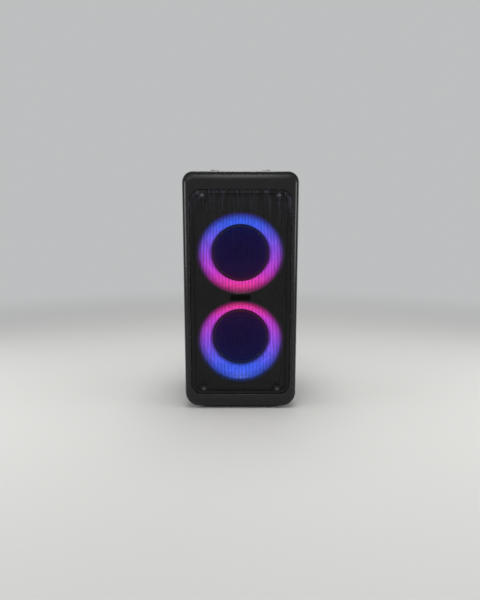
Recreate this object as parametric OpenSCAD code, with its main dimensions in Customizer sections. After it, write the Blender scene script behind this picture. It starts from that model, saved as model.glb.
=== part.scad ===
// Party speaker: a tower cabinet with two woofers, a lit horn ring round each,
// a slotted steel grille, a folding carry handle and a rear connector panel.
// +Z is up, the front faces -Y, and the origin is on the floor under the middle.

/* [Cabinet] */
// Width of the cabinet
body_w = 320; // [310:2:360]
// Depth of the cabinet from front frame to rear wall
body_d = 296; // [280:4:340]
// Height of the cabinet above its feet
body_h = 665; // [655:5:740]
// Thickness of the moulded walls
wall = 4; // [3:0.5:5]
// Radius of the upper corners, seen from the front
top_corner_r = 30; // [20:1:34]
// Radius of the lower corners, seen from the front
bottom_corner_r = 40; // [28:1:44]
// Radius of the rolled edge round the front
front_roll_r = 19; // [14:1:20]
// Radius of the edges round the rear
rear_edge_r = 18; // [12:1:24]
// Height that the rubber feet hold the cabinet off the floor
foot_h = 5; // [4:1:10]

/* [Grille] */
// Width of frame left at each side of the grille
grille_side_margin = 20; // [20:1:26]
// Height of frame left above the grille
grille_top_margin = 51; // [44:1:60]
// Height of frame left below the grille
grille_bottom_margin = 39; // [36:1:60]
// Corner radius of the grille
grille_corner_r = 31; // [24:1:36]
// Thickness of the grille sheet
grille_t = 1.5; // [1:0.1:2]
// Depth that the grille's face lies behind the frame's face
grille_recess = 2; // [1.5:0.1:3]
// Width of a slot in the grille
slot_w = 5; // [3:0.5:6]
// Length of a slot in the grille
slot_l = 44; // [30:1:50]

/* [Drivers and lights] */
// Height of the point midway between the drivers, above the cabinet's base
driver_mid_h = 319; // [312:1:340]
// Distance between the two driver centres
driver_spacing = 246; // [242:1:256]
// Diameter of a driver's mounting flange
driver_d = 164; // [156:1:168]
// Diameter of a light ring at its wide front edge
ring_d = 230; // [216:1:234]
// Depth of the horn that the light ring forms in front of a driver
ring_depth = 52; // [40:1:60]
// Travel of a cone each way from rest
cone_travel = 3; // [2:0.5:4]

/* [Handle] */
// Distance from the front face back to the handle's pivot
handle_set_back = 138; // [104:2:150]
// Width of the handle over its arms
handle_w = 150; // [130:1:160]
// Distance from the handle's pivot to the middle of its grip
handle_reach = 56; // [48:1:60]
// Height of the handle's pivot above the cabinet
pivot_h = 12; // [11:0.5:16]
// Thickness of the grip
grip_t = 12; // [10:0.5:13]
// Radius of a pivot pin
pin_r = 3; // [2:0.1:4]
// Depth of the finger well
well_depth = 26; // [20:1:34]

/* [Controls] */
// Radius of a push button
button_r = 9; // [7:0.5:10]
// Travel of a push button
button_travel = 1; // [0.6:0.1:1.2]
// Radius of a rear knob
knob_r = 11; // [8:0.5:13]
// Height of a rear knob
knob_h = 14; // [10:0.5:16]
// Travel of a rear knob, degrees. Its pointer stands half of this from the top at the low end
knob_travel = 300; // [240:10:320]

/* [Rear] */
// Height of the connector panel's middle above the cabinet's base
io_h = 215; // [190:1:240]
// Depth of the connector recess
io_depth = 24; // [20:1:28]
// Height of the bass port's middle above the cabinet's base
port_h = 500; // [470:1:520]
// Inner radius of the bass port
port_r = 33; // [26:1:38]
// Length of the bass port
port_l = 120; // [90:1:140]

/* [Hidden] */
$fn = 64;

gap = 0.3;            // what two seated pieces keep between them
eps = 0.01;
proud = 0.6;          // see body_form

// colours
shell_black = [0.05, 0.05, 0.06];
panel_black = [0.03, 0.03, 0.035];
steel_black = [0.08, 0.08, 0.09];
board_green = [0.05, 0.3, 0.15];
zinc = [0.7, 0.7, 0.72];

// outside of the cabinet
z_base = foot_h;
z_top = foot_h + body_h;
y_front = -body_d / 2;
y_rear = body_d / 2;

// layers behind the front face, front to back
grille_y = y_front + grille_recess;
baffle_y = y_front + 10;
baffle_t = 5;
baffle_back_y = baffle_y + baffle_t;
frame_d = 32;                       // depth of the front frame
seam_y = y_front + frame_d;
seam_reveal = 1;                    // shadow line between frame and shell
tongue_l = 4;                       // tongue of the shell inside the frame
tongue_inset = 1.6;

// grille
grille_w = body_w - 2 * grille_side_margin;
grille_z0 = z_base + grille_bottom_margin;
grille_z1 = z_top - grille_top_margin;
grille_gap = 1;                     // between the grille and the frame
grille_lip = baffle_y - grille_y;   // folded edge that lands on the baffle
slot_land = 6;                      // sheet between two slots in a column
slot_border = 12;                   // sheet above and below the slots
slot_screw_room = 9;                // between a screw and the slots beside it
slot_corner_room = 30;              // between the ends and the slots that reach the sides
slot_rows = floor((grille_z1 - grille_z0 - 2 * slot_border) / (slot_l + slot_land));
slot_row_pitch = (grille_z1 - grille_z0 - 2 * slot_border) / slot_rows;
slot_col_pitch = 2.2 * slot_w;
slot_cols = 2 * floor((grille_w / 2 - grille_t - slot_w / 2 - 8) / slot_col_pitch) + 1;
grille_screw_side = 35;             // from the grille's side to its screws
grille_screw_end = 15;              // from the grille's ends to its screws
grille_screw_x = grille_w / 2 - grille_screw_side;
grille_screw_z = [grille_z0 + grille_screw_end, grille_z1 - grille_screw_end];
grille_screw_r = 2;

// drivers, in their own frame: z = 0 is the cup floor and +z looks forward
driver_z = [z_base + driver_mid_h - driver_spacing / 2,
            z_base + driver_mid_h + driver_spacing / 2];
driver_r = driver_d / 2;
ring_r = ring_d / 2;
cup_wall = 3;
cup_floor_t = 4;
cup_r = ring_r + 0.3;               // inside of the cup that holds the ring
cup_y = baffle_y + ring_depth;      // front face of the cup floor
flange_t = 3.5;
gasket_t = 0.8;
bowl_r = driver_r - 12;             // outside of the basket below its flange
surround_r1 = driver_r - 12;
surround_r0 = driver_r - 25;
roll_r = (surround_r1 - surround_r0 - 3) / 2;
cone_r = surround_r0 - 1 - gap;     // edge of the cone, clear of the surround's lip
neck_z = -26;
coil_r = 13;                        // inside of the voice coil former
coil_t = 0.7;
spider_z = -36;
spider_r = 36;
basket_floor_z = -48;
plate_r = 40;
magnet_r = 45;
magnet_back_z = basket_floor_z - 28;
driver_screw_r = driver_r - 5;

// handle
pivot_y = y_front + handle_set_back;
pivot_z = z_top + pivot_h;
arm_w = 12;
arm_h = 10;
handle_x = handle_w / 2;
bracket_w = 12;
bracket_r = 8.5;
pin_clearance = 0.06;

// top panel
panel_t = 2;                        // thickness that lies in the shell's rebate
panel_x = body_w / 2 - top_corner_r - 12;
panel_y0 = seam_y + 6;
panel_y1 = pivot_y + handle_reach + 46;
panel_r = 14;
panel_ledge = 5;
well_x = handle_x - arm_w - 3;
well_y0 = pivot_y + handle_reach - 36;
well_y1 = pivot_y + handle_reach + 32;
well_wall = 2.5;
button_y = panel_y0 + 24;
button_margin = 19;                 // from the last button's rim to the panel's end
button_pitch = (panel_x - button_r - button_margin) / 3;
button_flange = 1.2;
button_top = 1.4;
board_z = z_top - panel_t - 10;     // top face of the control board
board_t = 1.6;
lights_y = button_y + button_r + 8;

// connector panel
io_z = z_base + io_h;
io_w = 170;
io_l = 150;
io_t = 2.5;
io_flange = 9;
io_r = 10;
io_floor_y = y_rear - io_depth;     // face that the sockets show on
io_floor_t = 3;
io_back_y = io_floor_y - io_floor_t;
socket_l = 26;                      // from the panel's back to the amplifier board
amp_y = io_back_y - socket_l;       // rear face of the amplifier board
knob_row_z = io_z + 42;
jack_row_z = io_z + 2;
inlet_z = io_z - 44;
knob_x = [-52, 0, 52];
jack_x = [-52, 52];
aux_x = -14;
usb_x = 14;
jack_r = 3.3;
aux_r = 1.85;
spindle_r = 3;

// bass port
port_z = z_base + port_h;
port_wall = 2.5;
port_flare = 14;
port_flange_r = port_r + port_flare + 6;

// inside
floor_z = z_base + wall;
post_r = 6;
post_x = grille_w / 2 - 8;
post_z = [grille_z0 + grille_corner_r + 10, z_base + driver_mid_h,
          grille_z1 - grille_corner_r - 10];
post_l = 55;
post_back_y = baffle_back_y + post_l;
screw_r = 1.6;
case_screw_l = 20;
rear_seam_y = y_rear - rear_edge_r - 4;
rear_post_r = 5;
rear_post_x = body_w / 2 - rear_edge_r - 6;
rear_post_z = [z_base + 60, z_base + driver_mid_h, z_top - 60];
rear_post_l = 44;
rear_screw_sink = 2.4;
rear_screw_l = 16;
frame_screw_l = 8;
foot_x = body_w / 2 - 52;
foot_y = body_d / 2 - 56;
foot_r = 16;
foot_socket = 2;

// ---------------------------------------------------------------- helpers

// A rectangle with its own radius at each corner, anticlockwise from the lowest.
module outline(x0, x1, y0, y1, r) {
    polygon([
        [x0 + r[0], y0], [x1 - r[1], y0], [x1, y0 + r[1]], [x1, y1 - r[2]],
        [x1 - r[2], y1], [x0 + r[3], y1], [x0, y1 - r[3]], [x0, y0 + r[0]]
    ]);
    translate([x0 + r[0], y0 + r[0]]) circle(r[0]);
    translate([x1 - r[1], y0 + r[1]]) circle(r[1]);
    translate([x1 - r[2], y1 - r[2]]) circle(r[2]);
    translate([x0 + r[3], y1 - r[3]]) circle(r[3]);
}

module even_outline(x0, x1, y0, y1, r) {
    outline(x0, x1, y0, y1, [r, r, r, r]);
}

// Extrudes a drawing in x and z from y0 to y1.
module along_y(y0, y1) {
    translate([0, y1, 0]) rotate([90, 0, 0]) linear_extrude(y1 - y0) children();
}

// Extrudes a drawing in y and z from x0 to x1.
module along_x(x0, x1) {
    translate([x0, 0, 0]) rotate([90, 0, 90]) linear_extrude(x1 - x0) children();
}

module rod_y(r, y0, y1) {
    translate([0, y1, 0]) rotate([90, 0, 0]) cylinder(r = r, h = y1 - y0);
}

module rod_x(r, x0, x1) {
    translate([x0, 0, 0]) rotate([0, 90, 0]) cylinder(r = r, h = x1 - x0);
}

module block(x0, x1, y0, y1, z0, z1) {
    translate([x0, y0, z0]) cube([x1 - x0, y1 - y0, z1 - z0]);
}

// Places children, drawn on the z axis looking up, on a driver looking forward.
module at_driver(z) {
    translate([0, cup_y, z]) rotate([90, 0, 0]) children();
}

// The cabinet's outer form, or the same form taken in by an inset.
// The plan and side outlines stand a little proud, so that no two faces run together.
module body_form(inset = 0) {
    x = body_w / 2 - inset;
    y0 = y_front + inset;
    y1 = y_rear - inset;
    z0 = z_base + inset;
    z1 = z_top - inset;
    rt = top_corner_r - inset;
    rb = bottom_corner_r - inset;
    rf = front_roll_r - inset;
    rr = rear_edge_r - inset;
    intersection() {
        along_y(y0, y1) outline(-x, x, z0, z1, [rb, rb, rt, rt]);
        translate([0, 0, z0 - 2]) linear_extrude(z1 - z0 + 4)
            outline(-x - proud, x + proud, y0 - proud, y1 + proud, [rf, rf, rr, rr]);
        along_x(-x - 2, x + 2)
            outline(y0 - 2 * proud, y1 + 2 * proud, z0 - proud, z1 + proud,
                    [rf, rr, rr, rf]);
    }
}

// A slice of the cabinet's form between two depths.
module body_slice(y0, y1, inset = 0) {
    intersection() {
        body_form(inset);
        block(-body_w, body_w, y0, y1, 0, z_top + body_h);
    }
}

module panel_outline(grow = 0) {
    even_outline(-panel_x - grow, panel_x + grow, panel_y0 - grow, panel_y1 + grow,
                 panel_r + grow);
}

module io_outline(grow = 0) {
    even_outline(-io_w / 2 - grow, io_w / 2 + grow, io_z - io_l / 2 - grow,
                 io_z + io_l / 2 + grow, io_r + grow);
}

// A machine screw with a domed head, drawn on z with its head upwards.
module screw(r, length, head_r, head_h) {
    difference() {
        union() {
            translate([0, 0, -length]) cylinder(r = r, h = length);
            cylinder(r1 = head_r, r2 = head_r * 0.8, h = head_h);
        }
        translate([0, 0, head_h * 0.4]) cylinder(r = head_r * 0.42, h = head_h, $fn = 6);
    }
}

// ---------------------------------------------------------------- cabinet

module baffle_posts() {
    for (s = [-1, 1], z = post_z) {
        translate([s * post_x, 0, z]) rod_y(post_r, baffle_back_y, post_back_y);
        mirror([s < 0 ? 1 : 0, 0, 0])
            block(post_x, body_w / 2 - wall / 2, seam_y - tongue_l, post_back_y,
                  z - 1.5, z + 1.5);
    }
}

// Posts that the rear cover's screws bite in, ribbed to the side walls.
module rear_posts() {
    for (s = [0, 1], z = rear_post_z) mirror([s, 0, 0]) {
        translate([rear_post_x, 0, z])
            rod_y(rear_post_r, y_rear - wall - gap - rear_post_l, y_rear - wall - gap);
        block(rear_post_x, body_w / 2 - wall / 2, y_rear - wall - gap - rear_post_l,
              rear_seam_y - 1, z - 1.5, z + 1.5);
    }
}

// The tub between the front frame and the rear cover, with a tongue at each end.
module cabinet_shell() {
    color(shell_black) difference() {
        union() {
            difference() {
                union() {
                    body_slice(seam_y, rear_seam_y);
                    body_slice(seam_y - tongue_l, rear_seam_y + tongue_l, tongue_inset + 0.2);
                }
                body_slice(seam_y - tongue_l - 1, rear_seam_y + tongue_l + 1, wall);
            }
            baffle_posts();
            rear_posts();
            for (x = [-1, 1], y = [-1, 1])
                translate([x * foot_x, y * foot_y, z_base + wall / 2])
                    cylinder(r = 8, h = 14);
        }
        // opening and rebate for the top panel
        translate([0, 0, z_top - panel_t]) linear_extrude(panel_t + 1)
            panel_outline(gap);
        translate([0, 0, z_top - wall - 1]) linear_extrude(wall + 2)
            panel_outline(-panel_ledge);
        // screw holes
        for (s = [-1, 1], z = rear_post_z)
            translate([s * rear_post_x, 0, z])
                rod_y(screw_r + 0.02, y_rear - wall - gap - rear_screw_l, y_rear);
        for (s = [-1, 1], z = post_z)
            translate([s * post_x, 0, z])
                rod_y(screw_r + 0.02, baffle_back_y - 1, baffle_back_y + case_screw_l);
        for (x = [-1, 1], y = [-1, 1]) {
            translate([x * foot_x, y * foot_y, z_base - 1])
                cylinder(r = foot_r + gap, h = 1 + foot_socket);
            translate([x * foot_x, y * foot_y, z_base - 1])
                cylinder(r = screw_r + 0.02, h = 14);
        }
    }
}

module rear_cover() {
    color(shell_black) difference() {
        body_slice(rear_seam_y + seam_reveal, y_rear);
        body_slice(rear_seam_y, y_rear, wall);
        body_slice(rear_seam_y, rear_seam_y + tongue_l + gap, tongue_inset);
        // opening and rebate for the connector panel
        along_y(y_rear - io_t, y_rear + 1) io_outline(io_flange + gap);
        along_y(y_rear - wall - 1, y_rear + 1) io_outline(io_t + gap);
        // bass port
        translate([0, 0, port_z]) rod_y(port_flange_r + gap, y_rear - port_wall, y_rear + 1);
        translate([0, 0, port_z])
            rod_y(port_r + port_flare + gap, y_rear - wall - 1, y_rear + 1);
        for (p = io_screw_points())
            translate([p[0], 0, p[1]]) rod_y(screw_r + 0.02, y_rear - wall - 1, y_rear);
        for (s = [-1, 1], z = rear_post_z) translate([s * rear_post_x, 0, z]) {
            rod_y(screw_r + gap, y_rear - wall - 1, y_rear);
            rod_y(4, y_rear - rear_screw_sink, y_rear + 1);
        }
    }
}

module front_frame() {
    color(shell_black) difference() {
        body_slice(y_front, seam_y - seam_reveal);
        along_y(y_front - 1, baffle_y + 1)
            even_outline(-grille_w / 2 - grille_gap, grille_w / 2 + grille_gap,
                         grille_z0 - grille_gap, grille_z1 + grille_gap,
                         grille_corner_r + grille_gap);
        body_slice(baffle_y, seam_y, wall);
        body_slice(seam_y - tongue_l - gap, seam_y, tongue_inset);
        for (p = frame_screw_points())
            translate([p[0], 0, p[1]]) rod_y(screw_r + 0.02, baffle_back_y - frame_screw_l - 1, baffle_y + 1);
    }
}

// Screws that hold the frame to the baffle from behind.
function frame_screw_points() = [
    for (s = [-1, 1], z = [driver_z[0], driver_z[1]]) [s * (grille_w / 2 + 7), z],
    for (s = [-1, 1], z = [grille_z0 - 15, grille_z1 + 15]) [s * grille_w / 4, z]
];

module front_baffle() {
    color(panel_black) difference() {
        union() {
            body_slice(baffle_y, baffle_back_y, wall + gap);
            for (z = driver_z)
                translate([0, 0, z])
                    rod_y(cup_r + cup_wall, baffle_y, cup_y + cup_floor_t);
            for (s = [-1, 1], z = grille_screw_z)
                translate([s * grille_screw_x, 0, z])
                    rod_y(5, grille_y + grille_t, baffle_y + 1);
        }
        for (z = driver_z) {
            translate([0, 0, z]) rod_y(cup_r, baffle_y - 1, cup_y);
            translate([0, 0, z]) rod_y(bowl_r + 0.5, cup_y - 1, cup_y + cup_floor_t + 1);
            at_driver(z) for (a = [45:90:315]) rotate(a)
                translate([driver_screw_r, 0, -cup_floor_t - 1])
                    cylinder(r = screw_r + 0.02, h = cup_floor_t + 2);
        }
        for (s = [-1, 1], z = grille_screw_z)
            translate([s * grille_screw_x, 0, z])
                rod_y(grille_screw_r + 0.02, grille_y, baffle_back_y + 1);
        for (s = [-1, 1], z = post_z)
            translate([s * post_x, 0, z]) rod_y(screw_r + gap, baffle_y - 1, baffle_back_y + 1);
        for (p = frame_screw_points())
            translate([p[0], 0, p[1]])
                rod_y(screw_r + gap, baffle_y - 1, baffle_back_y + 1);
    }
}

module grille() {
    x = grille_w / 2;
    color(steel_black) difference() {
        union() {
            along_y(grille_y, grille_y + grille_t) difference() {
                even_outline(-x, x, grille_z0, grille_z1, grille_corner_r);
                for (i = [0:slot_cols - 1], j = [0:slot_rows - 1])
                    if (slot_fits(slot_x(i), slot_z(j)))
                        translate([slot_x(i), slot_z(j)])
                            square([slot_w, slot_l], center = true);
            }
            along_y(grille_y + grille_t - eps, baffle_y) difference() {
                even_outline(-x, x, grille_z0, grille_z1, grille_corner_r);
                even_outline(-x + grille_t, x - grille_t, grille_z0 + grille_t,
                             grille_z1 - grille_t, grille_corner_r - grille_t);
            }
        }
        for (s = [-1, 1], z = grille_screw_z)
            translate([s * grille_screw_x, 0, z])
                rod_y(grille_screw_r + gap, grille_y - 1, grille_y + grille_t + 1);
    }
}

function slot_x(i) = (i - (slot_cols - 1) / 2) * slot_col_pitch;
function slot_z(j) = (grille_z0 + grille_z1) / 2 + (j - (slot_rows - 1) / 2) * slot_row_pitch;

// A slot is left out where it would meet a corner, a screw or the badge.
function slot_fits(x, z) =
    let (
        dx = abs(x) + slot_w / 2,
        near_end = min(z - grille_z0, grille_z1 - z) < slot_l / 2 + slot_corner_room
    )
    !(near_end && dx > grille_screw_x - slot_screw_room)
    && !(abs(x) < badge_w / 2 + slot_w && abs(z - badge_z) < slot_l / 2 + badge_l / 2);

badge_w = 56;
badge_l = 15;
badge_z = z_base + driver_mid_h;

module badge() {
    color([0.01, 0.01, 0.01])
        along_y(y_front, grille_y)
            even_outline(-badge_w / 2, badge_w / 2, badge_z - badge_l / 2,
                         badge_z + badge_l / 2, 2);
}

module grille_screws() {
    color(steel_black)
        for (s = [-1, 1], z = grille_screw_z)
            translate([s * grille_screw_x, grille_y, z]) rotate([90, 0, 0])
                screw(grille_screw_r, 14, 4.5, grille_recess);
}

module baffle_screws() {
    color(steel_black) {
        for (z = driver_z) at_driver(z) for (a = [45:90:315]) rotate(a)
            translate([driver_screw_r, 0, gasket_t + flange_t]) screw(screw_r, 12, 3.2, 2);
        for (s = [-1, 1], z = post_z)
            translate([s * post_x, baffle_y, z]) rotate([90, 0, 0])
                screw(screw_r, case_screw_l, 3.2, 2);
        for (p = frame_screw_points())
            translate([p[0], baffle_back_y, p[1]]) rotate([-90, 0, 0])
                screw(screw_r, frame_screw_l, 3.2, 2);
    }
}

module feet() {
    color([0.06, 0.06, 0.06])
        for (x = [-1, 1], y = [-1, 1])
            translate([x * foot_x, y * foot_y, 0]) difference() {
                union() {
                    cylinder(r1 = foot_r - 1.5, r2 = foot_r, h = foot_h - 1);
                    translate([0, 0, foot_h - 1]) cylinder(r = foot_r, h = 1 + foot_socket);
                }
                translate([0, 0, -1]) cylinder(r = 4.5, h = foot_h - 1);
                translate([0, 0, -1]) cylinder(r = screw_r + gap, h = foot_h + 5);
            }
}

module feet_screws() {
    color(zinc)
        for (x = [-1, 1], y = [-1, 1])
            translate([x * foot_x, y * foot_y, foot_h - 2]) rotate([180, 0, 0])
                screw(screw_r, 12, 3.6, 2);
}

// ---------------------------------------------------------------- lights

// The ring's section: a horn that flares from the driver's edge to the cup's mouth.
ring_t = 2.5;
ring_throat_r = driver_r + 1;
ring_steps = 10;
function ring_point(t) = [
    ring_throat_r + (ring_r - ring_t - ring_throat_r) * (1 - cos(90 * t)) * 0.45
        + (ring_r - ring_t - ring_throat_r) * t * 0.55,
    4 + (ring_depth - 4) * t
];

module light_ring(z) {
    inner = [for (i = [0:ring_steps]) ring_point(i / ring_steps)];
    outer = [for (i = [ring_steps:-1:0]) ring_point(i / ring_steps) + [ring_t, 0]];
    color([0.75, 0.6, 0.95])
        at_driver(z) rotate_extrude()
            polygon(concat([[ring_throat_r, 0]], inner, outer, [[ring_throat_r + ring_t, 0]]));
}

led_count = 24;
led_r = (ring_throat_r + ring_r) / 2;
module led_board(z) {
    color([0.9, 0.9, 0.88]) at_driver(z) {
        difference() {
            cylinder(r = ring_r - 1.5, h = board_t);
            translate([0, 0, -1]) cylinder(r = ring_throat_r + ring_t + 0.5, h = board_t + 2);
        }
        for (i = [0:led_count - 1]) rotate(i * 360 / led_count)
            translate([led_r - 2.5, -2.5, board_t - eps]) cube([5, 5, 1.4]);
    }
}

// ---------------------------------------------------------------- drivers

module basket(z) {
    r_floor = plate_r + 2;
    color(steel_black) at_driver(z) difference() {
        union() {
            translate([0, 0, gasket_t]) cylinder(r = driver_r, h = flange_t);
            translate([0, 0, basket_floor_z])
                cylinder(r1 = r_floor, r2 = bowl_r, h = gasket_t - basket_floor_z + eps);
        }
        // hollow bowl, with a step that the spider is glued on
        translate([0, 0, spider_z])
            cylinder(r1 = r_floor - 2, r2 = bowl_r - 2, h = gasket_t + flange_t - spider_z + 1);
        translate([0, 0, basket_floor_z + 3])
            cylinder(r = spider_r - 4, h = spider_z - basket_floor_z);
        translate([0, 0, basket_floor_z - 1]) cylinder(r = coil_r + 4, h = 10);
        // windows between the arms
        for (i = [0:5]) rotate(60 * i + 10)
            translate([0, 0, spider_z + 4]) window_wedge(40, 28);
        for (a = [45:90:315]) rotate(a) translate([driver_screw_r, 0, -1])
            cylinder(r = screw_r + gap, h = flange_t + 3);
    }
}

// A wedge that cuts a window through the side of the basket.
module window_wedge(angle, height) {
    reach = driver_r + 20;
    linear_extrude(height) polygon([
        [spider_r - 14, 0], [reach, 0], [reach * cos(angle), reach * sin(angle)],
        [(spider_r - 14) * cos(angle), (spider_r - 14) * sin(angle)]
    ]);
}

// Top plate, ring magnet and back plate with its pole: one glued stack.
module magnet(z) {
    z1 = basket_floor_z;
    color([0.2, 0.2, 0.22]) at_driver(z) {
        difference() {
            union() {
                translate([0, 0, z1 - 6]) cylinder(r = plate_r, h = 6);
                translate([0, 0, z1 - 22]) cylinder(r = magnet_r, h = 16.01);
                translate([0, 0, magnet_back_z]) cylinder(r = plate_r, h = 6.01);
            }
            translate([0, 0, z1 - 7]) cylinder(r = coil_r + coil_t + 0.9, h = 8);
            translate([0, 0, magnet_back_z + 6]) cylinder(r = coil_r + 8, h = 16.01);
        }
        translate([0, 0, magnet_back_z + 5]) cylinder(r = coil_r - 0.8, h = 23);
    }
}

module surround(z) {
    top = gasket_t + flange_t;
    mid = (surround_r0 + surround_r1) / 2;
    color([0.07, 0.07, 0.07]) at_driver(z) rotate_extrude() {
        // glued lips, then the half roll between them
        translate([surround_r1 - 1.5, top]) square([5, 1]);
        translate([surround_r0 - 1, top]) square([2.6, 1]);
        difference() {
            translate([mid, top]) circle(roll_r + 1);
            translate([mid, top]) circle(roll_r);
            translate([0, top - 20]) square([mid + 30, 20]);
        }
    }
}

module cone(z) {
    top = gasket_t + flange_t + 1;
    t = 1.2;
    steps = 8;
    inner = [for (i = [0:steps]) cone_point(i / steps, top)];
    outer = [for (i = [steps:-1:0]) cone_point(i / steps, top) + [0, -t]];
    color([0.12, 0.12, 0.13]) at_driver(z) rotate_extrude() polygon(concat(inner, outer));
}

// The cone's curved section from its neck to the surround.
function cone_point(t, top) = [
    coil_r + coil_t + (cone_r - coil_r - coil_t) * t,
    neck_z + (top - neck_z) * (0.7 * t + 0.3 * sin(90 * t))
];

cap_r = 21;
cap_h = 7;
module dust_cap(z) {
    seat_t = (cap_r - coil_r - coil_t) / (cone_r - coil_r - coil_t);
    seat = cone_point(seat_t, gasket_t + flange_t + 1)[1] + 0.3;
    ball_r = (cap_r * cap_r + cap_h * cap_h) / (2 * cap_h);
    color([0.1, 0.1, 0.1]) at_driver(z) difference() {
        translate([0, 0, seat + cap_h - ball_r]) sphere(ball_r);
        translate([0, 0, seat + cap_h - ball_r - 1]) sphere(ball_r);
        translate([-ball_r, -ball_r, seat - 2 * ball_r]) cube(2 * ball_r);
    }
}

// A corrugated cloth ring from the former to the basket's step.
module spider(z) {
    r0 = coil_r + coil_t + gap;
    waves = 4;
    steps = 24;
    r1 = spider_r - 4.5;
    wave = [for (i = [0:steps])
        [r0 + (r1 - r0) * i / steps, 1.4 * sin(360 * waves * i / steps)]];
    color([0.75, 0.6, 0.3]) at_driver(z) translate([0, 0, spider_z + 0.1])
        rotate_extrude() {
            polygon(concat(wave, [for (i = [steps:-1:0]) wave[i] + [0, 0.8]]));
            translate([r1 - 0.2, 0]) square([spider_r + 2 - r1, 0.8]);
        }
}

module voice_coil(z) {
    bottom = basket_floor_z - 14;
    color([0.72, 0.4, 0.2]) at_driver(z) difference() {
        union() {
            translate([0, 0, bottom]) cylinder(r = coil_r + coil_t - 0.1, h = neck_z - bottom + 2);
            translate([0, 0, bottom]) cylinder(r = coil_r + coil_t + 0.3, h = 16);
        }
        translate([0, 0, bottom - 1]) cylinder(r = coil_r, h = neck_z - bottom + 4);
    }
}

module woofer_gaskets() {
    color([0.1, 0.1, 0.1])
        for (z = driver_z) at_driver(z) difference() {
            cylinder(r = driver_r, h = gasket_t);
            translate([0, 0, -1]) cylinder(r = bowl_r + 0.5, h = gasket_t + 2);
            for (a = [45:90:315]) rotate(a) translate([driver_screw_r, 0, -1])
                cylinder(r = screw_r + gap, h = gasket_t + 2);
        }
}

// ---------------------------------------------------------------- top panel and handle

button_names = ["power", "pairing", "volume_down", "play", "volume_up", "bass", "light"];
function button_x(i) = (i - (len(button_names) - 1) / 2) * button_pitch;
light_x = [-16:8:16];
board_x = 3 * button_pitch + 12;
standoff = [for (s = [-1, 1], y = [button_y - 14, lights_y - 2]) [s * (board_x - 5), y]];

module top_panel() {
    color(panel_black) difference() {
        union() {
            translate([0, 0, z_top - panel_t]) linear_extrude(panel_t) panel_outline();
            translate([0, 0, z_top - well_depth - well_wall])
                linear_extrude(well_depth + well_wall)
                    even_outline(-well_x - well_wall, well_x + well_wall,
                                 well_y0 - well_wall, well_y1 + well_wall, 10 + well_wall);
            for (p = standoff)
                translate([p[0], p[1], board_z]) cylinder(r = 3, h = z_top - panel_t - board_z);
        }
        translate([0, 0, z_top - well_depth]) linear_extrude(well_depth + 1)
            even_outline(-well_x, well_x, well_y0, well_y1, 10);
        for (i = [0:len(button_names) - 1])
            translate([button_x(i), button_y, z_top - panel_t - 1])
                cylinder(r = button_r + gap, h = panel_t + 2);
        for (x = light_x)
            translate([x, lights_y, z_top - panel_t - 1]) cylinder(r = 1.6, h = panel_t + 2);
    }
}

module push_button(i) {
    seat_z = z_top - panel_t;
    stem_end = board_z + 3.5 + button_travel + gap;
    color([0.13, 0.13, 0.14]) translate([button_x(i), button_y, 0]) {
        translate([0, 0, seat_z - gap - button_flange])
            cylinder(r = button_r, h = panel_t + gap + button_flange + button_top);
        translate([0, 0, seat_z - gap - button_flange])
            cylinder(r = button_r + 1.2, h = button_flange);
        translate([0, 0, stem_end])
            cylinder(r = 2, h = seat_z - gap - button_flange - stem_end + eps);
    }
}

module control_board() {
    color(board_green) {
        block(-board_x, board_x, button_y - 18, lights_y + 2, board_z - board_t, board_z);
        for (i = [0:len(button_names) - 1])
            translate([button_x(i) - 3, button_y - 3, board_z - eps]) cube([6, 6, 3.5]);
    }
}

module status_lights() {
    color([0.85, 0.9, 1])
        for (x = light_x)
            translate([x, lights_y, board_z]) cylinder(r = 1.5, h = z_top - board_z + 0.2);
}

module handle_brackets() {
    x0 = handle_x + 0.6;
    color(zinc) for (s = [0, 1]) mirror([s, 0, 0]) difference() {
        union() {
            translate([0, pivot_y, pivot_z]) rod_x(bracket_r, x0, x0 + bracket_w);
            block(x0, x0 + bracket_w, pivot_y - bracket_r, pivot_y + bracket_r, z_top, pivot_z);
        }
        translate([0, pivot_y, pivot_z]) rod_x(pin_r + 0.02, x0 - 1, x0 + bracket_w + 1);
        block(x0 - 1, x0 + bracket_w + 1, pivot_y - 2 * bracket_r, pivot_y + 2 * bracket_r,
              z_top - 3 * bracket_r, z_top);
    }
}

module handle_pins() {
    x1 = handle_x + 0.6 + bracket_w;
    color([0.85, 0.85, 0.87]) for (s = [0, 1]) mirror([s, 0, 0])
        translate([0, pivot_y, pivot_z]) {
            rod_x(pin_r, handle_x - arm_w + 1, x1 + eps);
            rod_x(pin_r + 2, x1, x1 + 2);
        }
}

module handle_bail() {
    grip_y = pivot_y + handle_reach;
    color([0.06, 0.06, 0.07]) difference() {
        union() {
            for (s = [0, 1]) mirror([s, 0, 0]) {
                translate([0, pivot_y, pivot_z]) rod_x(arm_h / 2 + 1.5, handle_x - arm_w, handle_x);
                block(handle_x - arm_w, handle_x, pivot_y, grip_y, pivot_z - arm_h / 2,
                      pivot_z + arm_h / 2);
            }
            along_x(-handle_x, handle_x)
                even_outline(grip_y - 11, grip_y + 11, pivot_z - grip_t / 2,
                             pivot_z + grip_t / 2, grip_t / 2 - 0.5);
        }
        for (s = [0, 1]) mirror([s, 0, 0]) translate([0, pivot_y, pivot_z])
            rod_x(pin_r + pin_clearance, handle_x - arm_w, handle_x + 1);
    }
}

// Rubber stops that the arms of the folded handle lie on.
module handle_bumpers() {
    color([0.05, 0.05, 0.05])
        for (s = [-1, 1])
            translate([s * (handle_x - arm_w / 2), pivot_y + handle_reach - 16, z_top])
                cylinder(r1 = 5, r2 = 4, h = pivot_h - arm_h / 2 - gap);
}

// ---------------------------------------------------------------- connector panel

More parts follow.
